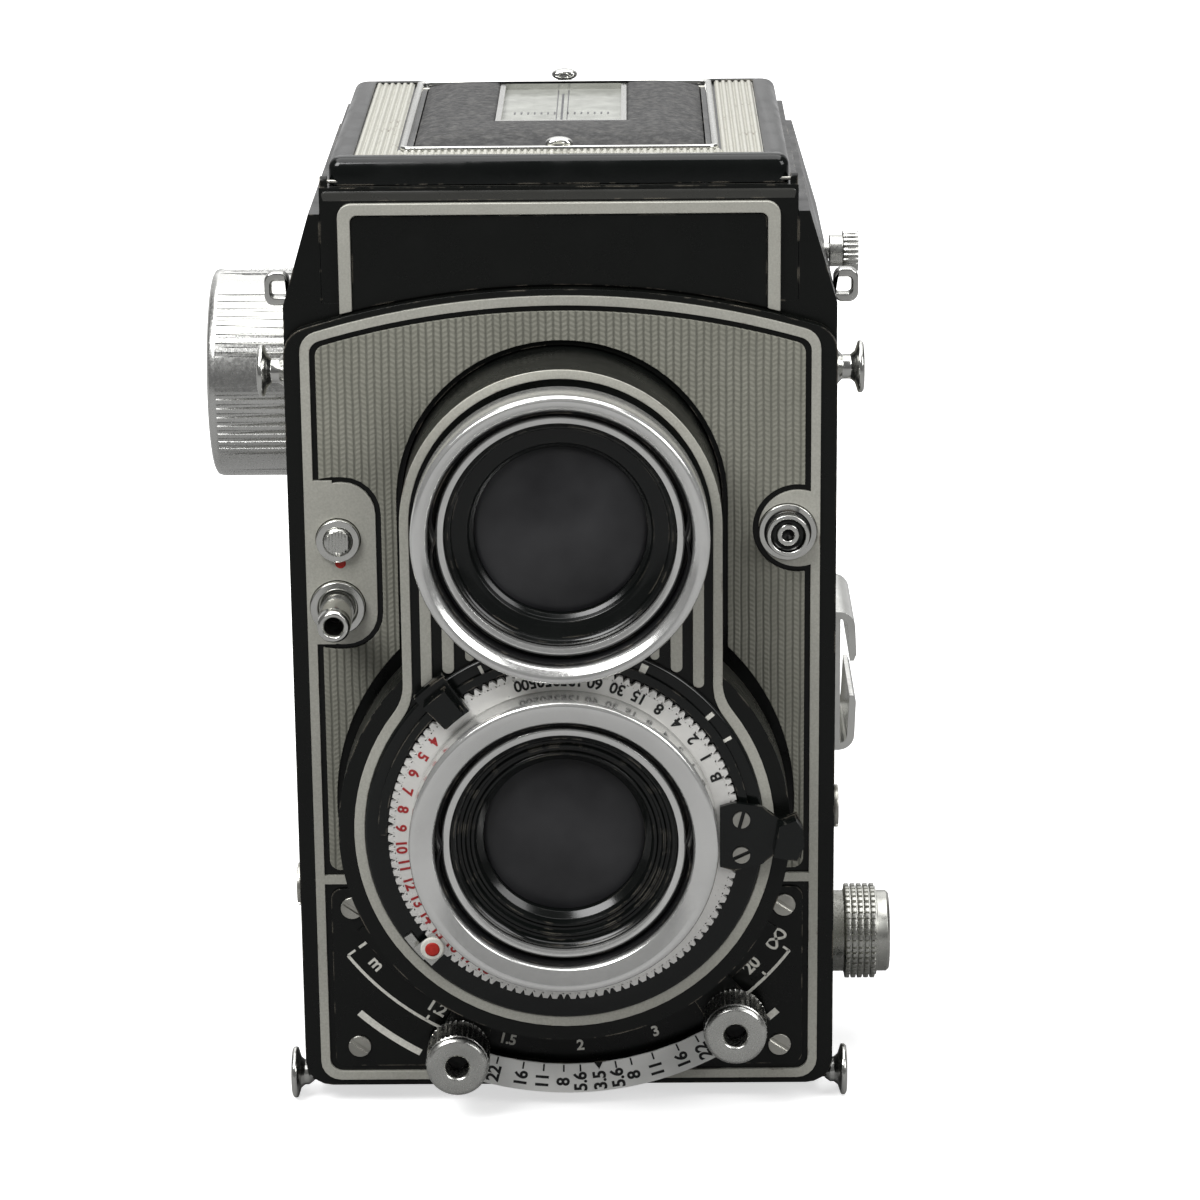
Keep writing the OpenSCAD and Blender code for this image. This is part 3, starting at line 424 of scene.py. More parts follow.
def lathe(name, profile, axis, centre, body, look, nodes=(), radius=0.15, steps=144,
          wave=None):
    """Turns a closed (radius, along) profile about an axis.

    axis "f" runs forward from (x, z) and axis "x" runs along X through (y, z). wave(angle, radius,
    along) may change a radius around the turn, for knurls.
    """
    points = fillet(profile, radius)
    bm = bmesh.new()
    rings = []
    for k in range(steps):
        angle = 2 * math.pi * k / steps
        ring = []
        for p in points:
            r = wave(angle, p.x, p.y) if wave else p.x
            u, v = r * math.cos(angle), r * math.sin(angle)
            if axis == "f":
                place = (centre[0] + u, -p.y, centre[1] + v)
            else:
                place = (p.y, centre[0] + u, centre[1] + v)
            ring.append(bm.verts.new([c * MM for c in place]))
        rings.append(ring)
    for k, ring in enumerate(rings):
        other = rings[(k + 1) % steps]
        for i in range(len(points)):
            j = (i + 1) % len(points)
            if points[i].x < 1e-6 and points[j].x < 1e-6:
                continue
            bm.faces.new((ring[i], ring[j], other[j], other[i]))
    bmesh.ops.remove_doubles(bm, verts=bm.verts, dist=0.001 * MM)
    piece_from(bm, name, body, look, nodes, 33)


def join(bm, loop, other):
    """Adds the quads between two closed loops of as many corners."""
    for i in range(len(loop)):
        j = (i + 1) % len(loop)
        bm.faces.new((loop[i], loop[j], other[j], other[i]))


def capped(bm, start, end):
    """Closes the form between two loops with a face at each end."""
    bm.faces.new(end)
    bm.faces.new(list(reversed(start)))
    join(bm, start, end)


def prism(bm, outline, f0, f1):
    """Adds a flat closed outline of (x, z) points standing from f0 to f1 forward."""
    capped(bm, *([bm.verts.new((x * MM, -f * MM, z * MM)) for x, z in outline] for f in (f0, f1)))


def slab(bm, low, high):
    """Adds a block between two (x, y, z) corners."""
    ring = [(low[0], low[1]), (high[0], low[1]), (high[0], high[1]), (low[0], high[1])]
    capped(bm, *([bm.verts.new((x * MM, y * MM, z * MM)) for x, y in ring] for z in (low[2], high[2])))


def rim(bm, outer, inner, f0, f1):
    """Adds a closed band between two upright outlines of as many points each."""
    loops = [[bm.verts.new((x * MM, -f * MM, z * MM)) for x, z in outline]
             for outline, f in ((outer, f1), (outer, f0), (inner, f0), (inner, f1))]
    for loop, other in zip(loops, loops[1:] + loops[:1]):
        join(bm, loop, other)


def box_outline(x0, y0, x1, y1, r, steps=6):
    """Rectangle with rounded corners, as (x, y) points; for an upright one y stands for z."""
    points = []
    for cx, cy, start in ((x1 - r, y1 - r, 0), (x0 + r, y1 - r, 90),
                          (x0 + r, y0 + r, 180), (x1 - r, y0 + r, 270)):
        for k in range(steps + 1):
            a = math.radians(start + 90 * k / steps)
            points.append((cx + r * math.cos(a), cy + r * math.sin(a)))
    return points


def tray(name, loops, body, look, nodes=(), angle=38):
    """Closed ring of level rounded rectangles (half width, y0, y1, corner radius, z), joined in turn."""
    bm = bmesh.new()
    rings = [[bm.verts.new((x * MM, y * MM, z * MM)) for x, y in box_outline(-half, y0, half, y1, r)]
             for half, y0, y1, r, z in loops]
    for ring, other in zip(rings, rings[1:] + rings[:1]):
        join(bm, ring, other)
    piece_from(bm, name, body, look, nodes, angle)


def below(radius, degrees):
    """Point about the taking axis, at an angle from straight down towards +X."""
    a = math.radians(degrees)
    return radius * math.sin(a), TAKING_Z - radius * math.cos(a)


def arc_strip(r0, r1, a0, a1, step=2.0):
    """Closed outline of a curved bar about the taking axis."""
    count = max(2, int(abs(a1 - a0) / step))
    angles = [a0 + (a1 - a0) * i / count for i in range(count + 1)]
    return [below(r1, a) for a in angles] + [below(r0, a) for a in reversed(angles)]


def on_arc(text, radius, degrees, turn=0.0):
    """A label standing on an arc about the taking axis, turned with it."""
    return text, below(radius, degrees), degrees + turn


def labels(name, rows, size, f, body, look):
    """Raised print. rows holds (text, (x, z), turn in degrees counter-clockwise from the front)."""
    bm = bmesh.new()
    for text, (x, z), turn in rows:
        curve = bpy.data.curves.new("print", "FONT")
        curve.body = text
        curve.size = size
        curve.align_x = "CENTER"
        curve.align_y = "CENTER"
        curve.extrude = 0.02
        curve.offset = size * 0.028
        curve.space_character = 0.95
        curve.resolution_u = 3
        holder = put_in_scene("print", curve)
        bpy.context.view_layer.update()
        mesh = holder.to_mesh()
        turned = (Matrix.Translation((x * MM, -f * MM, z * MM)) @ Matrix.Rotation(math.pi / 2, 4, "X")
                  @ Matrix.Rotation(math.radians(turn), 4, "Z") @ Matrix.Scale(MM, 4))
        start = len(bm.verts)
        bm.from_mesh(mesh)
        bm.verts.ensure_lookup_table()
        bmesh.ops.transform(bm, matrix=turned, verts=bm.verts[start:])
        holder.to_mesh_clear()
        bpy.data.objects.remove(holder)
        bpy.data.curves.remove(curve)
    piece_from(bm, name, body, look)


# ---------------------------------------------------------------- plain nodes

for node, piece in frame["nodes"].items():
    piece.data.materials.clear()
    piece.data.materials.append(LOOKS[SLOT_OF[node]])

SOFTENED = {
    "body_casting": 0.5, "front_plate": 0.3, "front_trim": 0.14, "distance_plate": 0.15,
    "hood_frame": 0.6, "name_plate": 0.12, "name_plate_trim": 0.15, "accessory_shoe": 0.25,
    "strap_loops": 0.3, "case_screws": 0.1, "lens_board": 0.22, "board_trim": 0.1,
    "focus_ring": 0.12, "back_door": 0.4, "side_coverings": 0.2,
    "film_gate": 0.2, "mirror_cradle": 0.1, "side_leaf_left": 0.1, "side_leaf_right": 0.1,
    "rear_leaf": 0.1, "magnifier_frame": 0.15, "latch_dial": 0.2, "tripod_bush": 0.15,
    "take_up_spool": 0.25, "supply_spool": 0.25, "button_bushes": 0.2, "sync_socket": 0.15,
    "side_selector_knob": 0.1, "front_covering": 0.1,
}
for node, width in SOFTENED.items():
    soften(node, width, split=node == "distance_plate")


# ---------------------------------------------------------------- lens board

def bezel(node, z, outer, lip, look):
    """Bright bezel: domed outer lip, funnel, dark bayonet groove and thin inner ring."""
    f0, f1 = BOARD_F + 2.2, BOARD_F + lip
    ring = f1 - (2.9 if node == "viewing_bezel" else 2.3)
    profile = [(16.5, f0), (outer, f0), (outer, f1 - 0.7), (outer - 0.25, f1 - 0.2), (outer - 0.7, f1),
               (outer - 1.3, f1 - 0.1), (19.0, f1 - 0.75), (18.75, f1 - 1.1), (18.5, ring - 1.6),
               (17.6, ring - 1.6), (17.6, ring), (17.3, ring + 0.15), (16.5, ring)]
    lathe(node + "_form", profile, "f", (0, z), BODY_OF[node], look, [node], 0.12, 192)
    groove = [(17.62, ring - 1.55), (18.5, ring - 1.55), (18.72, f1 - 1.45), (18.35, f1 - 1.3),
              (18.2, ring - 1.2), (17.62, ring - 1.25)]

    def bumps(angle, r, along):
        near = max(0.0, 1 - abs(math.sin(angle)) * 5) if r > 18 else 0.0
        return r - 0.9 * near ** 1.5

    lathe(node + "_groove", groove, "f", (0, z), BODY_OF[node], "matt_black",
          [], 0.05, 192, bumps)


bezel("viewing_bezel", VIEWING_Z, 21.1, 8.2, "chrome_viewing")
bezel("taking_bezel", TAKING_Z, 22.3, 7.7, "chrome_taking")

lathe("viewing_barrel_form",
      [(12.3, 41.2), (13.9, 41.2), (13.9, BOARD_F), (16.4, BOARD_F), (16.4, BOARD_F + 4.3),
       (15.9, BOARD_F + 4.6), (15.5, BOARD_F + 4.3), (15.4, BOARD_F + 3.6), (14.0, BOARD_F + 3.3),
       (13.2, BOARD_F + 3.2), (12.9, BOARD_F + 2.6), (12.3, BOARD_F + 2.2)],
      "f", (0, VIEWING_Z), "lens_board", "gloss_black",
      ["viewing_barrel"], 0.1, 160)
lathe("taking_barrel_form",
      [(11.7, 34), (14, 34), (14.5, 34.5), (14.5, BOARD_F + 2.2), (16.4, BOARD_F + 2.2),
       (16.4, BOARD_F + 4.7), (15.9, BOARD_F + 5.0), (15.5, BOARD_F + 4.6), (15.4, BOARD_F + 3.9),
       (14.9, BOARD_F + 3.9), (14.7, BOARD_F + 4.3), (14.3, BOARD_F + 4.3), (14.1, BOARD_F + 3.4),
       (13.6, BOARD_F + 3.4), (13.4, BOARD_F + 3.7), (13.0, BOARD_F + 3.7), (12.7, BOARD_F + 2.6),
       (11.7, BOARD_F + 1.9)],
      "f", (0, TAKING_Z), "lens_board", "gloss_black",
      ["taking_barrel"], 0.1, 160)


def lens_pair(node, z, radius, front, sag):
    """Front and rear glass elements with domed faces."""
    def dome(f, rise, n=10):
        return [(radius * i / n, f + rise * (1 - (i / n) ** 2)) for i in range(n + 1)]

    face = dome(front, sag)
    back = list(reversed(dome(front - 2.6, -sag * 0.6)))
    lathe(node + "_form", face + back, "f", (0, z), "lens_board", "lens_glass",
          [node], 0.0, 128)


lens_pair("viewing_glass", VIEWING_Z, 12.25, BOARD_F + 1.3, 1.7)
lens_pair("taking_glass", TAKING_Z, 11.65, BOARD_F + 0.9, 1.6)

lathe("shutter_housing_form",
      [(14.5, 39.5), (25.5, 39.5), (25.5, BOARD_F), (28.9, BOARD_F), (28.9, BOARD_F + 0.5),
       (28.6, BOARD_F + 0.8), (26.9, BOARD_F + 0.8), (25.6, BOARD_F + 0.7), (22, BOARD_F + 0.8),
       (22, BOARD_F + 2.2), (14.5, BOARD_F + 2.2)],
      "f", (0, TAKING_Z), "lens_board", "gloss_black",
      ["shutter_housing"], 0.12, 192)


def speed_dial():
    """Toothed bright dial under the taking bezel, with shutter speeds and exposure values."""
    teeth, depth, root = 118, 0.75, 24.6

    def notch(angle, r, along):
        if r < root:
            return r
        return r - (depth if (angle * teeth / (2 * math.pi)) % 1.0 > 0.5 else 0.0)

    lathe("speed_dial",
          [(22.05, BOARD_F + 0.9), (25.5, BOARD_F + 0.9), (25.5, BOARD_F + 1.9), (24.8, BOARD_F + 1.95),
           (24.55, BOARD_F + 2.0), (22.05, BOARD_F + 2.05)],
          "f", (0, TAKING_Z), "speed_ring", "alloy_dial", ["speed_ring"], 0.0, teeth * 4, notch)
    speeds = ["B", "1", "2", "4", "8", "15", "30", "60", "125", "250", "500"]
    black = [on_arc(text, 23.75, 112 + 8.1 * i) for i, text in enumerate(speeds)]
    labels("speed_numbers", black, 2.3, BOARD_F + 2.06, "speed_ring", "black_fill")
    red = [on_arc(str(n), 23.7, 231.7 + 7 * (n - 4)) for n in range(4, 19)]
    labels("exposure_numbers", red, 2.2, BOARD_F + 2.06, "speed_ring", "red_fill")


speed_dial()


def speed_handle():
    """Curved black finger lever and its grip, on two slotted screws at the right of the dial."""
    bm = bmesh.new()
    base = [(22.5, -4.6), (24.5, -5.2), (28.6, -4.2), (30.6, -2.6), (33.0, -2.2), (34.2, -3.4),
            (34.6, -1.0), (34.5, 1.6), (33.6, 3.6), (31.2, 2.6), (28.6, 4.6), (24.5, 5.2), (22.5, 4.6)]
    prism(bm, [(x, TAKING_Z + z) for x, z in base], BOARD_F + 2.15, BOARD_F + 2.95)
    piece_from(bm, "speed_handle", "speed_ring", "gloss_black")
    bm = bmesh.new()
    grip = [(30.2, -2.3), (33.6, -2.9), (34.6, -0.6), (34.4, 1.8), (33.4, 3.3), (31.0, 2.4)]
    prism(bm, [(x, TAKING_Z + z) for x, z in grip], BOARD_F + 2.2, BOARD_F + 5.4)
    piece_from(bm, "speed_grip", "speed_ring", "gloss_black", [], 60)
    head, gap = 1.25, 0.07
    for i, z in enumerate((-2.7, 2.7)):
        bm = bmesh.new()
        for side in (0, math.pi):
            turns = [math.radians(25 + 50 * i) + math.pi * (k / 12 * (1 - 2 * gap) + gap) + side
                     for k in range(13)]
            half = [(25.6 + head * math.cos(a), TAKING_Z + z + head * math.sin(a)) for a in turns]
            prism(bm, half, BOARD_F + 2.9, BOARD_F + 3.35)
        piece_from(bm, f"handle_screw_{i}", "speed_ring", "steel_screws")


speed_handle()


def dial_marks():
    """Bright index marks on the black flange."""
    bm = bmesh.new()
    for a, w in ((155, 1.1), (130, 0.7), (121, 0.5), (205, 0.5)):
        prism(bm, arc_strip(26.2, 28.2, a - w, a + w, 0.6), BOARD_F + 0.75, BOARD_F + 0.86)
    piece_from(bm, "dial_marks", "lens_board", "white_fill")


dial_marks()


def timer_lever():
    """Self-timer arm with a raised tab over the dial teeth, carrying a white disc with a red dot."""
    at = below(25.9, 311.5)
    bm = bmesh.new()
    prism(bm, arc_strip(27.1, 28.4, 304, 313), BOARD_F + 0.85, BOARD_F + 1.5)
    prism(bm, arc_strip(27.1, 27.9, 308, 314.5), BOARD_F + 1.45, BOARD_F + 2.3)
    prism(bm, arc_strip(24.2, 27.9, 307.6, 315.4), BOARD_F + 2.15, BOARD_F + 2.55)
    piece_from(bm, "timer_arm", "self_timer_lever", "alloy", ["self_timer_lever"])
    f = BOARD_F + 2.5
    for name, radius, rise, look in (("timer_disc", 1.75, 0.45, "white_fill"),
                                     ("timer_dot", 1.1, 0.6, "red_dot")):
        profile = [(0, f), (radius, f), (radius, f + rise - 0.15), (radius - 0.25, f + rise),
                   (0, f + rise + 0.02)]
        lathe(name, profile, "f", at, "self_timer_lever", look, [], 0.05, 48)


timer_lever()


# ---------------------------------------------------------------- focus

INDEX = 6.2
KNOB_ORBIT = 42.4
KNOB_AT = (-22.9, 36.1)


def focus_knob(index, degrees):
    """Knurled knob with a domed collar round a dark well."""
    x, z = below(KNOB_ORBIT, degrees)
    front, teeth, depth = TRIM_F + 8.5, 36, 0.25

    def knurl(angle, r, along):
        ribbed = r > 4.65 and along < front - 1.2
        return r - (depth if ribbed and math.cos(angle * teeth) < 0 else 0.0)

    lathe(f"focus_knob_{index}",
          [(0, TRIM_F + 1.5), (4.75, TRIM_F + 1.5), (4.75, front - 1.3), (4.45, front - 1.15),
           (4.6, front - 0.9), (4.6, front - 0.45), (4.1, front), (2.05, front), (1.75, front - 0.3),
           (1.7, front - 3.5), (0, front - 3.5)],
          "f", (x, z), "focus_ring", "alloy",
          ["focus_knobs"] if index == 0 else [], 0.12, 144, knurl)
    lathe(f"focus_knob_well_{index}",
          [(0, front - 3.45), (1.68, front - 3.45), (1.4, front - 3.2), (0, front - 3.1)],
          "f", (x, z), "focus_ring", "matt_black", [], 0.0, 32)


for index, place in enumerate(KNOB_AT):
    focus_knob(index, place)

BAND_STOPS = [("22", -20.9), ("16", -15.5), ("11", -11.3), ("8", -7.2), ("5.6", -3.8), ("3.5", 0),
              ("5.6", 3.5), ("8", 6.7), ("11", 11.3), ("16", 16.7), ("22", 21.1)]


def depth_band():
    """Bright depth-of-field band between the focus knobs, with its notch, ticks and numbers."""
    bm = bmesh.new()
    top, bottom = 41.5, 46.15
    inner = [below(top, a) for a in (KNOB_AT[0], -15, -10, -5, 0, INDEX - 0.9)]
    inner += [below(top + 1.15, INDEX)]
    inner += [below(top, a) for a in (INDEX + 0.9, 12, 18, 24, 30, KNOB_AT[1])]
    outer = [below(bottom, KNOB_AT[1] - (KNOB_AT[1] - KNOB_AT[0]) * i / 28) for i in range(29)]
    prism(bm, inner + outer, BAND_F, BAND_F + 0.25)
    piece_from(bm, "depth_band", "focus_ring", "depth_band")
    rows = [on_arc(text, 44.35, INDEX + a, 90) for text, a in BAND_STOPS]
    labels("depth_numbers", rows, 2.7, BAND_F + 0.27, "focus_ring", "black_fill")
    bm = bmesh.new()
    for _, a in BAND_STOPS:
        if a:
            tick = arc_strip(41.6, 42.75, INDEX + a - 0.17, INDEX + a + 0.17, 0.2)
            prism(bm, tick, BAND_F + 0.24, BAND_F + 0.29)
    piece_from(bm, "depth_ticks", "focus_ring", "black_fill")


depth_band()

OUTER_TICKS = ((-53.4, 39.6), (-31.5, 40.1), (38.3, 40.1), (46.7, 40.1), (54.0, 39.9))


def infinity_outline(w):
    """Lying figure eight at the far end of the scale, moved outwards by w."""
    cx, cz = below(38.3, 54.6)
    wide, tall, turn = 1.55, 0.85, math.radians(54)
    points = []
    for k in range(48):
        t = 2 * math.pi * k / 48
        nx, nz = -2 * tall * math.cos(2 * t), -wide * math.sin(t)
        n = math.hypot(nx, nz)
        u, v = wide * math.cos(t) + nx / n * w, tall * math.sin(2 * t) + nz / n * w
        points.append((cx + u * math.cos(turn) - v * math.sin(turn),
                       cz + u * math.sin(turn) + v * math.cos(turn)))
    return points


def distance_scale():
    """White arc, ticks, thick bars and distances on the lower black panel."""
    bm = bmesh.new()
    arcs = [(40.8, 41.25, -53.4, -24), (40.8, 41.25, 38, 54.1),
            (45.55, 46.6, -43, -29), (45.55, 46.6, 36, 43)]
    outlines = [arc_strip(*arc) for arc in arcs]
    outlines += [arc_strip(start, 41.0, a - 0.25, a + 0.25, 0.3) for a, start in OUTER_TICKS]
    for outline in outlines:
        prism(bm, outline, PANEL_F - 0.02, PANEL_F + 0.04)
    piece_from(bm, "distance_marks", "camera_body", "white_fill")
    outer = [on_arc("1", 38.0, -53.4), on_arc("1.2", 38.5, -30.9, -0.6), on_arc("7", 38.5, 38.3),
             on_arc("20", 38.2, 46.2), on_arc("m", 38.6, -48.0)]
    labels("distance_numbers", outer, 2.7, PANEL_F + 0.03, "camera_body", "white_fill")
    inner = [on_arc("1.5", 39.3, -13.5), on_arc("2", 39.3, 2.6), on_arc("3", 39.3, 19.5)]
    labels("distance_numbers_inner", inner, 2.3, PANEL_F + 0.03, "camera_body", "white_fill")
    bm = bmesh.new()
    rim(bm, infinity_outline(0.2), infinity_outline(-0.2), PANEL_F, PANEL_F + 0.05)
    piece_from(bm, "infinity_mark", "camera_body", "white_fill")


distance_scale()


# ---------------------------------------------------------------- knobs and studs

def advance():
    """Large side knob: groups of coarse ribs with smooth bands between, a groove and a domed end."""
    y, z = middle("take_up_spool").y, middle("take_up_spool").z
    inner, outer = -40.5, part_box("advance_knob")[0].x / MM
    r = 16.4

    def ribs(angle, radius, along):
        if radius < r - 0.6 or not (outer + 1.6 < along < inner - 2.2):
            return radius
        place = (math.degrees(angle) + 4) % 60
        if place > 42:
            return radius - 0.15
        return radius - (0.85 if (place / 5.25) % 1.0 > 0.52 else 0.0)

    profile = [(0, inner), (6, inner), (6, inner - 1.4), (r - 1.2, inner - 1.4), (r, inner - 2.0),
               (r, inner - 2.3), (r, outer + 1.5), (r, outer + 1.2), (r - 0.25, outer + 0.45),
               (r - 0.9, outer + 0.1), (r - 2.2, outer), (r - 4.0, outer + 0.35), (r - 6.5, outer + 0.5),
               (2.6, outer + 0.5), (2.2, outer + 0.9), (0, outer + 0.9)]
    lathe("advance_knob_form", profile, "x", (y, z), "advance", "alloy_side",
          ["advance_knob"], 0.1, 480, ribs)
    lathe("advance_shaft", [(0, -26), (3, -26), (3, -40.6), (0, -40.6)], "x", (y, z), "advance",
          "alloy", [], 0.2, 48)


advance()


def supply():
    """Small side knob with square knurling in five rows, a collar and a plain cap."""
    y, z = middle("supply_spool").y, middle("supply_spool").z
    rows, start, length, teeth, depth = 5, 42.7, 4.9, 44, 0.42

    def squares(angle, radius, along):
        if radius < 6.9:
            return radius
        return radius - (depth if (angle * teeth / (2 * math.pi)) % 1.0 > 0.62 else 0.0)

    profile = [(0, 26), (3, 26), (3, 40), (6.0, 40), (6.3, 40.3), (6.3, 42.5), (6.7, 42.7)]
    for i in range(rows):
        a = start + length * i / rows
        b = start + length * (i + 0.72) / rows
        profile += [(7.35, a + 0.08), (7.35, b)]
        profile += [(6.88, b + 0.05), (6.88, start + length * (i + 1) / rows)]
    profile += [(6.3, 47.7), (6.3, 49.2), (5.9, 49.6), (2.2, 49.6), (2.0, 49.4), (0, 49.4)]
    lathe("supply_knob_form", profile, "x", (y, z), "supply_knob", "alloy_supply",
          ["supply_knob"], 0.03, 352, squares)


supply()


def door_back():
    """Grey covering on the back door and its bright border."""
    f = -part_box("back_door")[1].y / MM
    bm = bmesh.new()
    prism(bm, box_outline(-33.6, 10.2, 33.6, 110.2, 2.2), f - 0.15, f + 0.2)
    piece_from(bm, "door_covering", "back_door", "covering")
    bm = bmesh.new()
    outer, inner = box_outline(-36.6, 7.2, 36.6, 113.2, 3.4), box_outline(-35.4, 8.4, 35.4, 112.0, 2.6)
    rim(bm, outer, inner, f - 0.2, f + 0.3)
    piece_from(bm, "door_border", "back_door", "grey_trim")


door_back()


def studs():
    """Flared strap studs at the shoulders, and the lower pair that are also front feet."""
    low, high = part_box("strap_studs")
    y = (low.y + high.y) / 2 / MM
    for side, label in ((-1, "left"), (1, "right")):
        for level, z, base, stem, flange, start, end in (("upper", 113.8, 2.6, 1.8, 3.8, 39.8, 43.7),
                                                         ("lower", 3.9, 1.3, 1.9, 3.9, 38.8, 42.1)):
            profile = [(0, start), (base, start), (stem, start + 0.8), (stem, end - 1.9),
                       (stem + 0.5, end - 1.3), (flange - 0.1, end - 0.85), (flange, end - 0.6),
                       (flange - 0.05, end - 0.25), (flange - 0.4, end), (stem, end), (0, end - 0.05)]
            name = f"stud_{level}_{label}"
            lathe(name, [(r, side * x) for r, x in profile], "x", (y, z), "camera_body", "chrome",
                  ["strap_studs"] if name == "stud_upper_left" else [], 0.1, 64)


studs()


def push_buttons():
    """Threaded release plunger, ridged lock button and the red dot beside it."""
    x, z = middle("release_button").x, middle("release_button").z
    f = TRIM_F
    lathe("release_plunger",
          [(1.3, f + 3.5), (1.3, f + 9.5), (1.6, f + 10), (2.05, f + 10), (2.4, f + 9.6),
           (2.25, f + 8.8), (2.45, f + 8.1), (2.45, f - 5.6), (3.6, f - 5.6), (3.6, f - 6),
           (0, f - 6), (0, f + 3.5)],
          "f", (x, z), "release_button", "chrome", ["release_button"], 0.1, 72)
    lathe("release_well", [(0, f + 3.52), (1.28, f + 3.52), (1.1, f + 3.7), (0, f + 3.8)], "f", (x, z),
          "release_button", "matt_black", [], 0, 32)
    x, z = middle("lock_button").x, middle("lock_button").z
    lathe("lock_plunger",
          [(0, f + 1.62), (1.5, f + 1.56), (1.9, f + 1.35), (2.05, f + 1.0), (2.05, f - 5.6),
           (3, f - 5.6), (3, f - 6), (0, f - 6)],
          "f", (x, z), "lock_button", "alloy", ["lock_button"], 0.1, 64)
    bm = bmesh.new()
    for k in range(-3, 4):
        half = math.sqrt(1.75 ** 2 - (0.46 * k) ** 2)
        slab(bm, (x + 0.46 * k - 0.13, -f - 1.78, z - half), (x + 0.46 * k + 0.13, -f - 1.3, z + half))
    piece_from(bm, "lock_ridges", "lock_button", "alloy")
    lathe("lock_dot", [(0, f + 0.02), (0.8, f + 0.02), (0.75, f + 0.08), (0, f + 0.1)], "f",
          (x + 0.25, z - 3.5), "camera_body", "red_dot", [], 0, 32)


push_buttons()


# ---------------------------------------------------------------- hood

def rolled(half, y0, y1, corner, z, radius, steps=6, shrink=0.4):
    """Loops that roll an outer edge inwards and up by a quarter turn, ending at height z.

    The corner radius loses shrink times the inset.
    """
    out = []
    for k in range(steps + 1):
        a = math.pi / 2 * k / steps
        inset, rise = radius * (1 - math.cos(a)), radius * math.sin(a)
        out.append((half - inset, y0 + inset, y1 - inset, max(corner - inset * shrink, 0.3),
                    z - radius + rise))
    return out


def lid_shell():
    """Glossy lid with a rolled rim, a sunk top and the opening for the flap."""
    low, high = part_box("lid")
    half, y0, y1, z0, z1 = 32.85, low.y / MM, high.y / MM, 141.0, high.z / MM
    loops = [(half, y0, y1, 1.6, z0)] + rolled(half, y0, y1, 1.6, z1, 1.7)
    loops += [(29.7, y0 + 2.3, y1 - 1.7, 0.8, z1), (29.42, y0 + 2.58, y1 - 1.98, 0.8, z1 - 0.2),
              (29.4, y0 + 2.6, y1 - 2, 0.8, z1 - 0.6), (21.2, -24.6, 25.1, 0.4, z1 - 0.6),
              (21.2, -24.6, 25.1, 0.4, z1 - 1.45), (31.6, y0 + 1.6, y1 - 1.3, 0.6, z1 - 1.45),
              (31.6, y0 + 1.6, y1 - 1.3, 0.6, z0)]
    tray("lid_form", loops, "lid", "gloss_black", ["lid"], 40)


def lid_pins():
    """Hinge pins of the lid, flap and magnifier, and the arms that hold the magnifier's."""
    for name, radius, (a, b), at in (("flap_pin", 0.25, (-22, 22), (24.2, 144.2)),
                                     ("magnifier_pin", 0.4, (-13, 13), (1.8, 142.3)),
                                     ("pintle_left", 0.27, (-33.9, -31.4), (-34.2, 141.5)),
                                     ("pintle_right", 0.27, (31.4, 33.9), (-34.2, 141.5))):
        profile = [(0, a), (radius * 0.7, a), (radius, a + 0.1), (radius, b - 0.1), (radius * 0.7, b),
                   (0, b)]
        lathe(name, profile, "x", at, "lid", "steel_screws", [], 0.0, 24)
    bm = bmesh.new()
    slab(bm, (-31.7, 0.8, 141.7), (-12.3, 2.8, 142.9))
    slab(bm, (12.3, 0.8, 141.7), (31.7, 2.8, 142.9))
    round_edges(bm, list(bm.edges), 0.2)
    piece_from(bm, "magnifier_arms", "lid", "matt_black")


def lid_panel():
    """Ribbed grey panel in the lid, and the bright frame round the flap."""
    pitch, depth, plate = 0.95, 0.28, 0.12
    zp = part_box("lid_panel")[0].z / MM
    bm = bmesh.new()
    for x0, x1, y0, y1 in ((-29.3, -23.35, -31.7, 27.35), (23.35, 29.3, -31.7, 27.35),
                           (-23.35, 23.35, -31.7, -27.75)):
        count = round((x1 - x0) / pitch)
        step = (x1 - x0) / count
        outline = [(x0, zp)]
        for i in range(count):
            a = x0 + i * step
            outline += [(a + 0.02, zp + plate), (a + 0.25 * step, zp + plate + depth),
                        (a + 0.6 * step, zp + plate + depth), (a + 0.9 * step, zp + plate)]
        prism(bm, outline + [(x1, zp + plate), (x1, zp)], -y1, -y0)
    piece_from(bm, "lid_ribs", "lid", "grey_trim", ["lid_panel"], 25)

    z = zp + 0.6
    loops = [(22.95, -27.35, 27.45, 1.5, zp)] + rolled(22.95, -27.35, 27.45, 1.5, z + 0.15, 0.3, 3)
    loops += [(22.1, -26.5, 26.6, 1.0, z + 0.1), (21.9, -26.3, 26.4, 0.9, z - 0.1),
              (21.9, -26.3, 26.4, 0.9, zp)]
    tray("lid_bezel_form", loops, "lid", "chrome", ["lid_bezel"], 45)


def lid_catches():
    """Oval hollow studs before and behind the flap."""
    def oval(angle, r, along):
        return r / math.hypot(math.cos(angle), math.sin(angle) / 0.45)

    for name, f, z in (("catch_front", 27.0, 145.25), ("catch_rear", -27.9, 145.6)):
        profile = [(0, f - 1.9), (1.5, f - 1.9), (2.0, f - 1.5), (2.0, f - 0.5), (1.6, f),
                   (0.9, f + 0.2), (0.75, f - 0.1), (0, f - 0.1)]
        lathe(name, profile, "f", (0, z), "lid", "chrome", [], 0.2, 64, oval)


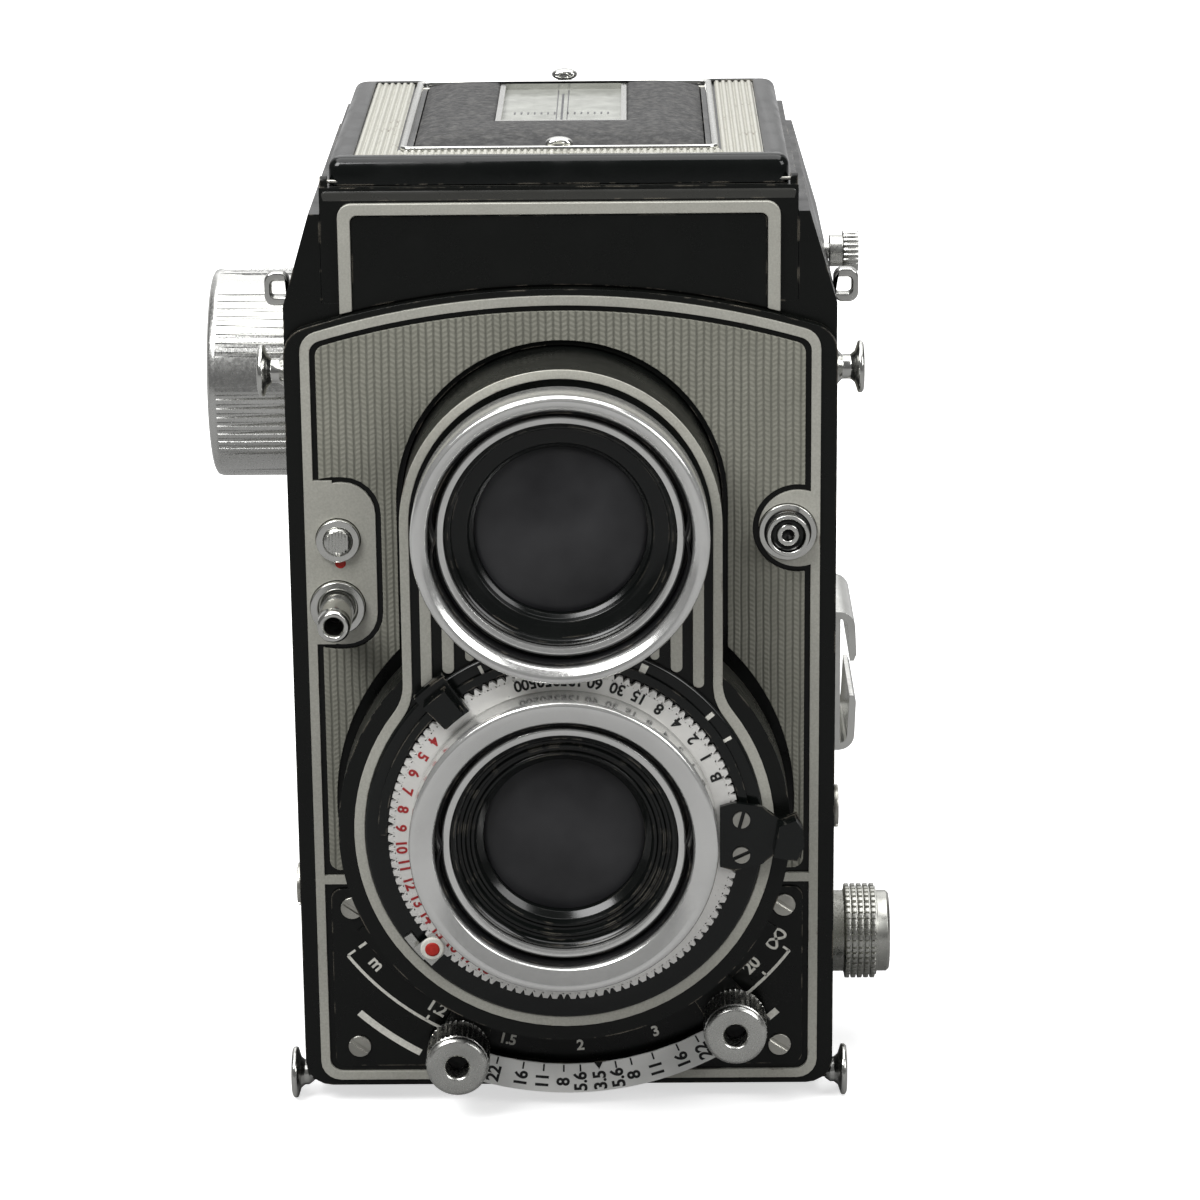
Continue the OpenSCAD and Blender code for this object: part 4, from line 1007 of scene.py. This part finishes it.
def hood_rim():
    """Rolled bead round the top of the hood, under the lid, painted a lighter black as a painted sheen
    for the highlight along it.
    """
    low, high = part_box("hood_frame")
    half, y0, y1, z0, z1 = 34.15, low.y / MM, high.y / MM, 138.9, 140.82
    loops = [(half + 0.05, y0 - 0.05, y1 + 0.05, 0.9, z0)]
    loops += rolled(half + 0.12, y0 - 0.12, y1 + 0.12, 0.9, z1, 1.0, shrink=0)
    loops += [(half - 1.2, y0 + 1.1, y1 - 1.0, 0.4, z1), (half - 1.2, y0 + 1.1, y1 - 1.0, 0.4, z0)]
    # the bead's lighter black is a painted sheen for its highlight
    tray("hood_rim", loops, "camera_body", "wear_and_sheen_black", (), 40)


lid_shell()
lid_pins()
lid_panel()
lid_catches()
hood_rim()


def flap_forms():
    """Leather-covered flap, domed towards its edges, and its window with fine sighting lines."""
    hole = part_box("flap_window")
    wx, wy0, wy1 = hole[1].x / MM, hole[0].y / MM, hole[1].y / MM
    base, top, crown = 143.6, 144.55, 145.75
    loops = [(21.0, -24.3, 24.55, 0.8, base), (21.0, -24.3, 24.55, 0.8, top - 0.2),
             (20.85, -24.15, 24.4, 0.8, top)]
    for k in range(1, 9):
        t = k / 8
        rise = (crown - top) * t * (2 - t)
        loops.append((20.85 - 6.5 * t, -24.15 + 7.5 * t, 24.4 - 2.9 * t, 1.0 + 1.2 * t, top + rise))
    loops += [(wx + 0.5, wy0 - 0.5, wy1 + 0.4, 0.3, crown - 0.1), (wx, wy0, wy1, 0.2, crown - 0.4),
              (wx, wy0, wy1, 0.2, base)]
    tray("flap_form", loops, "flap", "leatherette", ["flap"], 70)

    z = 144.6
    bm = bmesh.new()
    for x0, y0, x1, y1, height in ((-wx, wy0, wx, wy0 + 0.9, 0.9), (-wx, wy1 - 0.9, wx, wy1, 0.9),
                                   (-wx, wy0 + 0.85, -wx + 0.8, wy1 - 0.85, 0.85),
                                   (wx - 0.8, wy0 + 0.85, wx, wy1 - 0.85, 0.85)):
        slab(bm, (x0, y0, z - 0.3), (x1, y1, z + height))
    piece_from(bm, "flap_window_frame", "flap", "chrome")
    bm = bmesh.new()
    for x in (-0.85, 0.75):
        slab(bm, (x, wy0 + 1, z - 0.05), (x + 0.14, wy1 - 2, z + 0.03))
    slab(bm, (-0.16, wy0 + 1, z - 0.05), (0.16, wy1 - 5, z + 0.035))
    for k in range(15):
        slab(bm, (-7.2 + k, 0.0, z - 0.05), (-6.95 + k, 1.6, z + 0.03))
    piece_from(bm, "flap_window_lines", "flap", "blade_steel")
    pane = frame["nodes"]["flap_window"]
    pane.data.materials.clear()
    pane.data.materials.append(LOOKS["pane"])


flap_forms()


# ---------------------------------------------------------------- small front fittings

def sync_fittings():
    """Insulators and centre contact inside the flash socket."""
    at = (middle("sync_socket").x, middle("sync_socket").z)
    f = TRIM_F
    for name, look, profile in (
            ("sync_groove", "matt_black",
             [(3.12, f + 0.45), (3.45, f + 0.45), (3.42, f + 0.56), (3.12, f + 0.56)]),
            ("sync_insulator", "gloss_black",
             [(1.62, f + 0.02), (2.48, f + 0.02), (2.4, f + 1.7), (2.1, f + 1.85), (1.62, f + 1.7)]),
            ("sync_contact", "matt_black",
             [(0, f + 0.1), (0.88, f + 0.1), (0.88, f + 0.9), (0.35, f + 1.1), (0, f + 1.6)])):
        lathe(name, profile, "f", at, "camera_body", look, [], 0.05, 64)


sync_fittings()


def exposure_grip():
    """Exposure ring and its faceted black grip, which reaches in over the dial teeth."""
    bm = bmesh.new()
    prism(bm, arc_strip(25.75, 27, 90, 270), BOARD_F + 0.85, BOARD_F + 1.4)
    prism(bm, arc_strip(26.6, 30.2, 215, 225, 3), BOARD_F + 0.9, BOARD_F + 2.2)
    prism(bm, arc_strip(23.6, 30.0, 214.5, 225, 3), BOARD_F + 2.15, BOARD_F + 3.0)
    prism(bm, arc_strip(24.2, 28.6, 216, 224, 3), BOARD_F + 2.9, BOARD_F + 5.0)
    piece_from(bm, "exposure_grip", "exposure_lever", "gloss_black",
               ["exposure_lever"], 20)


exposure_grip()


# ---------------------------------------------------------------- stage

def stage():
    """Pale sweep, bright background and soft box lights."""
    bm = bmesh.new()
    half, back, rise, steps = 1.6, 0.9, 0.5, 12
    path = [(-1.6, 0.0), (back, 0.0)]
    path += [(back + rise * math.sin(a), rise * (1 - math.cos(a)))
             for a in (math.pi / 2 * i / steps for i in range(1, steps + 1))]
    path.append((back + rise, 2.4))
    rows = [(bm.verts.new((-half, y, z)), bm.verts.new((half, y, z))) for y, z in path]
    for a, b in zip(rows, rows[1:]):
        bm.faces.new((a[0], a[1], b[1], b[0]))
    mesh = mesh_from(bm, "floor")
    mesh.shade_smooth()
    floor = put_in_scene("floor", mesh)
    s = Shader("floor_white", Roughness=0.7, Specular_IOR_Level=0.1)
    seen = s.add("ShaderNodeLightPath").outputs["Is Camera Ray"]
    behind = s.between(s.axis_part(1), 0.1, 0.6)
    white = s.mix(s.noise(300, 3), (0.80, 0.80, 0.80), (0.83, 0.83, 0.83))
    s.put("Base Color", s.mix(seen, (0.22, 0.22, 0.22), white))
    s.put("Emission Color", (1, 1, 1))
    glow = s.math("ADD", s.math("MULTIPLY", seen, 0.62), s.math("MULTIPLY", behind, 0.45))
    s.put("Emission Strength", glow)
    mesh.materials.append(s.material)

    world = bpy.data.worlds.new("world")
    bpy.context.scene.world = world
    world.use_nodes = True
    tree = world.node_tree
    seen = tree.nodes.new("ShaderNodeLightPath").outputs["Is Camera Ray"]
    blend = tree.nodes.new("ShaderNodeMapRange")
    blend.inputs["To Min"].default_value = 0.13
    blend.inputs["To Max"].default_value = 1.0
    tree.links.new(seen, blend.inputs["Value"])
    tree.links.new(blend.outputs[0], tree.nodes["Background"].inputs[1])
    tree.nodes["Background"].inputs[0].default_value = (1, 1, 1, 1)
    aim = Vector((0, 0, 0.07))
    for name, place, size, power in (("key", (-0.45, -0.55, 0.85), 0.5, 9.0),
                                     ("fill", (0.70, -0.60, 0.60), 0.5, 4.2),
                                     ("top", (0.0, 0.05, 1.0), 1.0, 9.0),
                                     ("back", (0.0, 1.0, 0.8), 0.9, 2.0)):
        data = bpy.data.lights.new(name, "AREA")
        data.size = size
        data.energy = power
        lamp = put_in_scene(name, data)
        lamp.location = place
        lamp.rotation_euler = (aim - lamp.location).to_track_quat("-Z", "Y").to_euler()


def camera():
    """Camera at the viewing place: a little above, in front and to the right."""
    pitch, yaw, roll = math.radians(17.153), math.radians(-0.508), math.radians(-0.547)
    ahead = Vector((math.sin(yaw), math.cos(yaw), 0))
    forward = ahead * math.cos(pitch) - Vector((0, 0, math.sin(pitch)))
    level = Vector((math.cos(yaw), -math.sin(yaw), 0))
    rise = level.cross(forward)
    right = math.cos(roll) * level + math.sin(roll) * rise
    up = -math.sin(roll) * level + math.cos(roll) * rise
    data = bpy.data.cameras.new("camera")
    data.sensor_width = 36
    data.lens = 124.56
    data.clip_start = 0.01
    holder = put_in_scene("camera", data)
    turn = Matrix((right, up, -forward)).transposed().to_4x4()
    holder.matrix_world = Matrix.Translation(Vector((10.5, -616.7, 258.63)) * MM) @ turn
    bpy.context.scene.camera = holder


stage()
camera()
bpy.context.scene.view_settings.view_transform = "Standard"
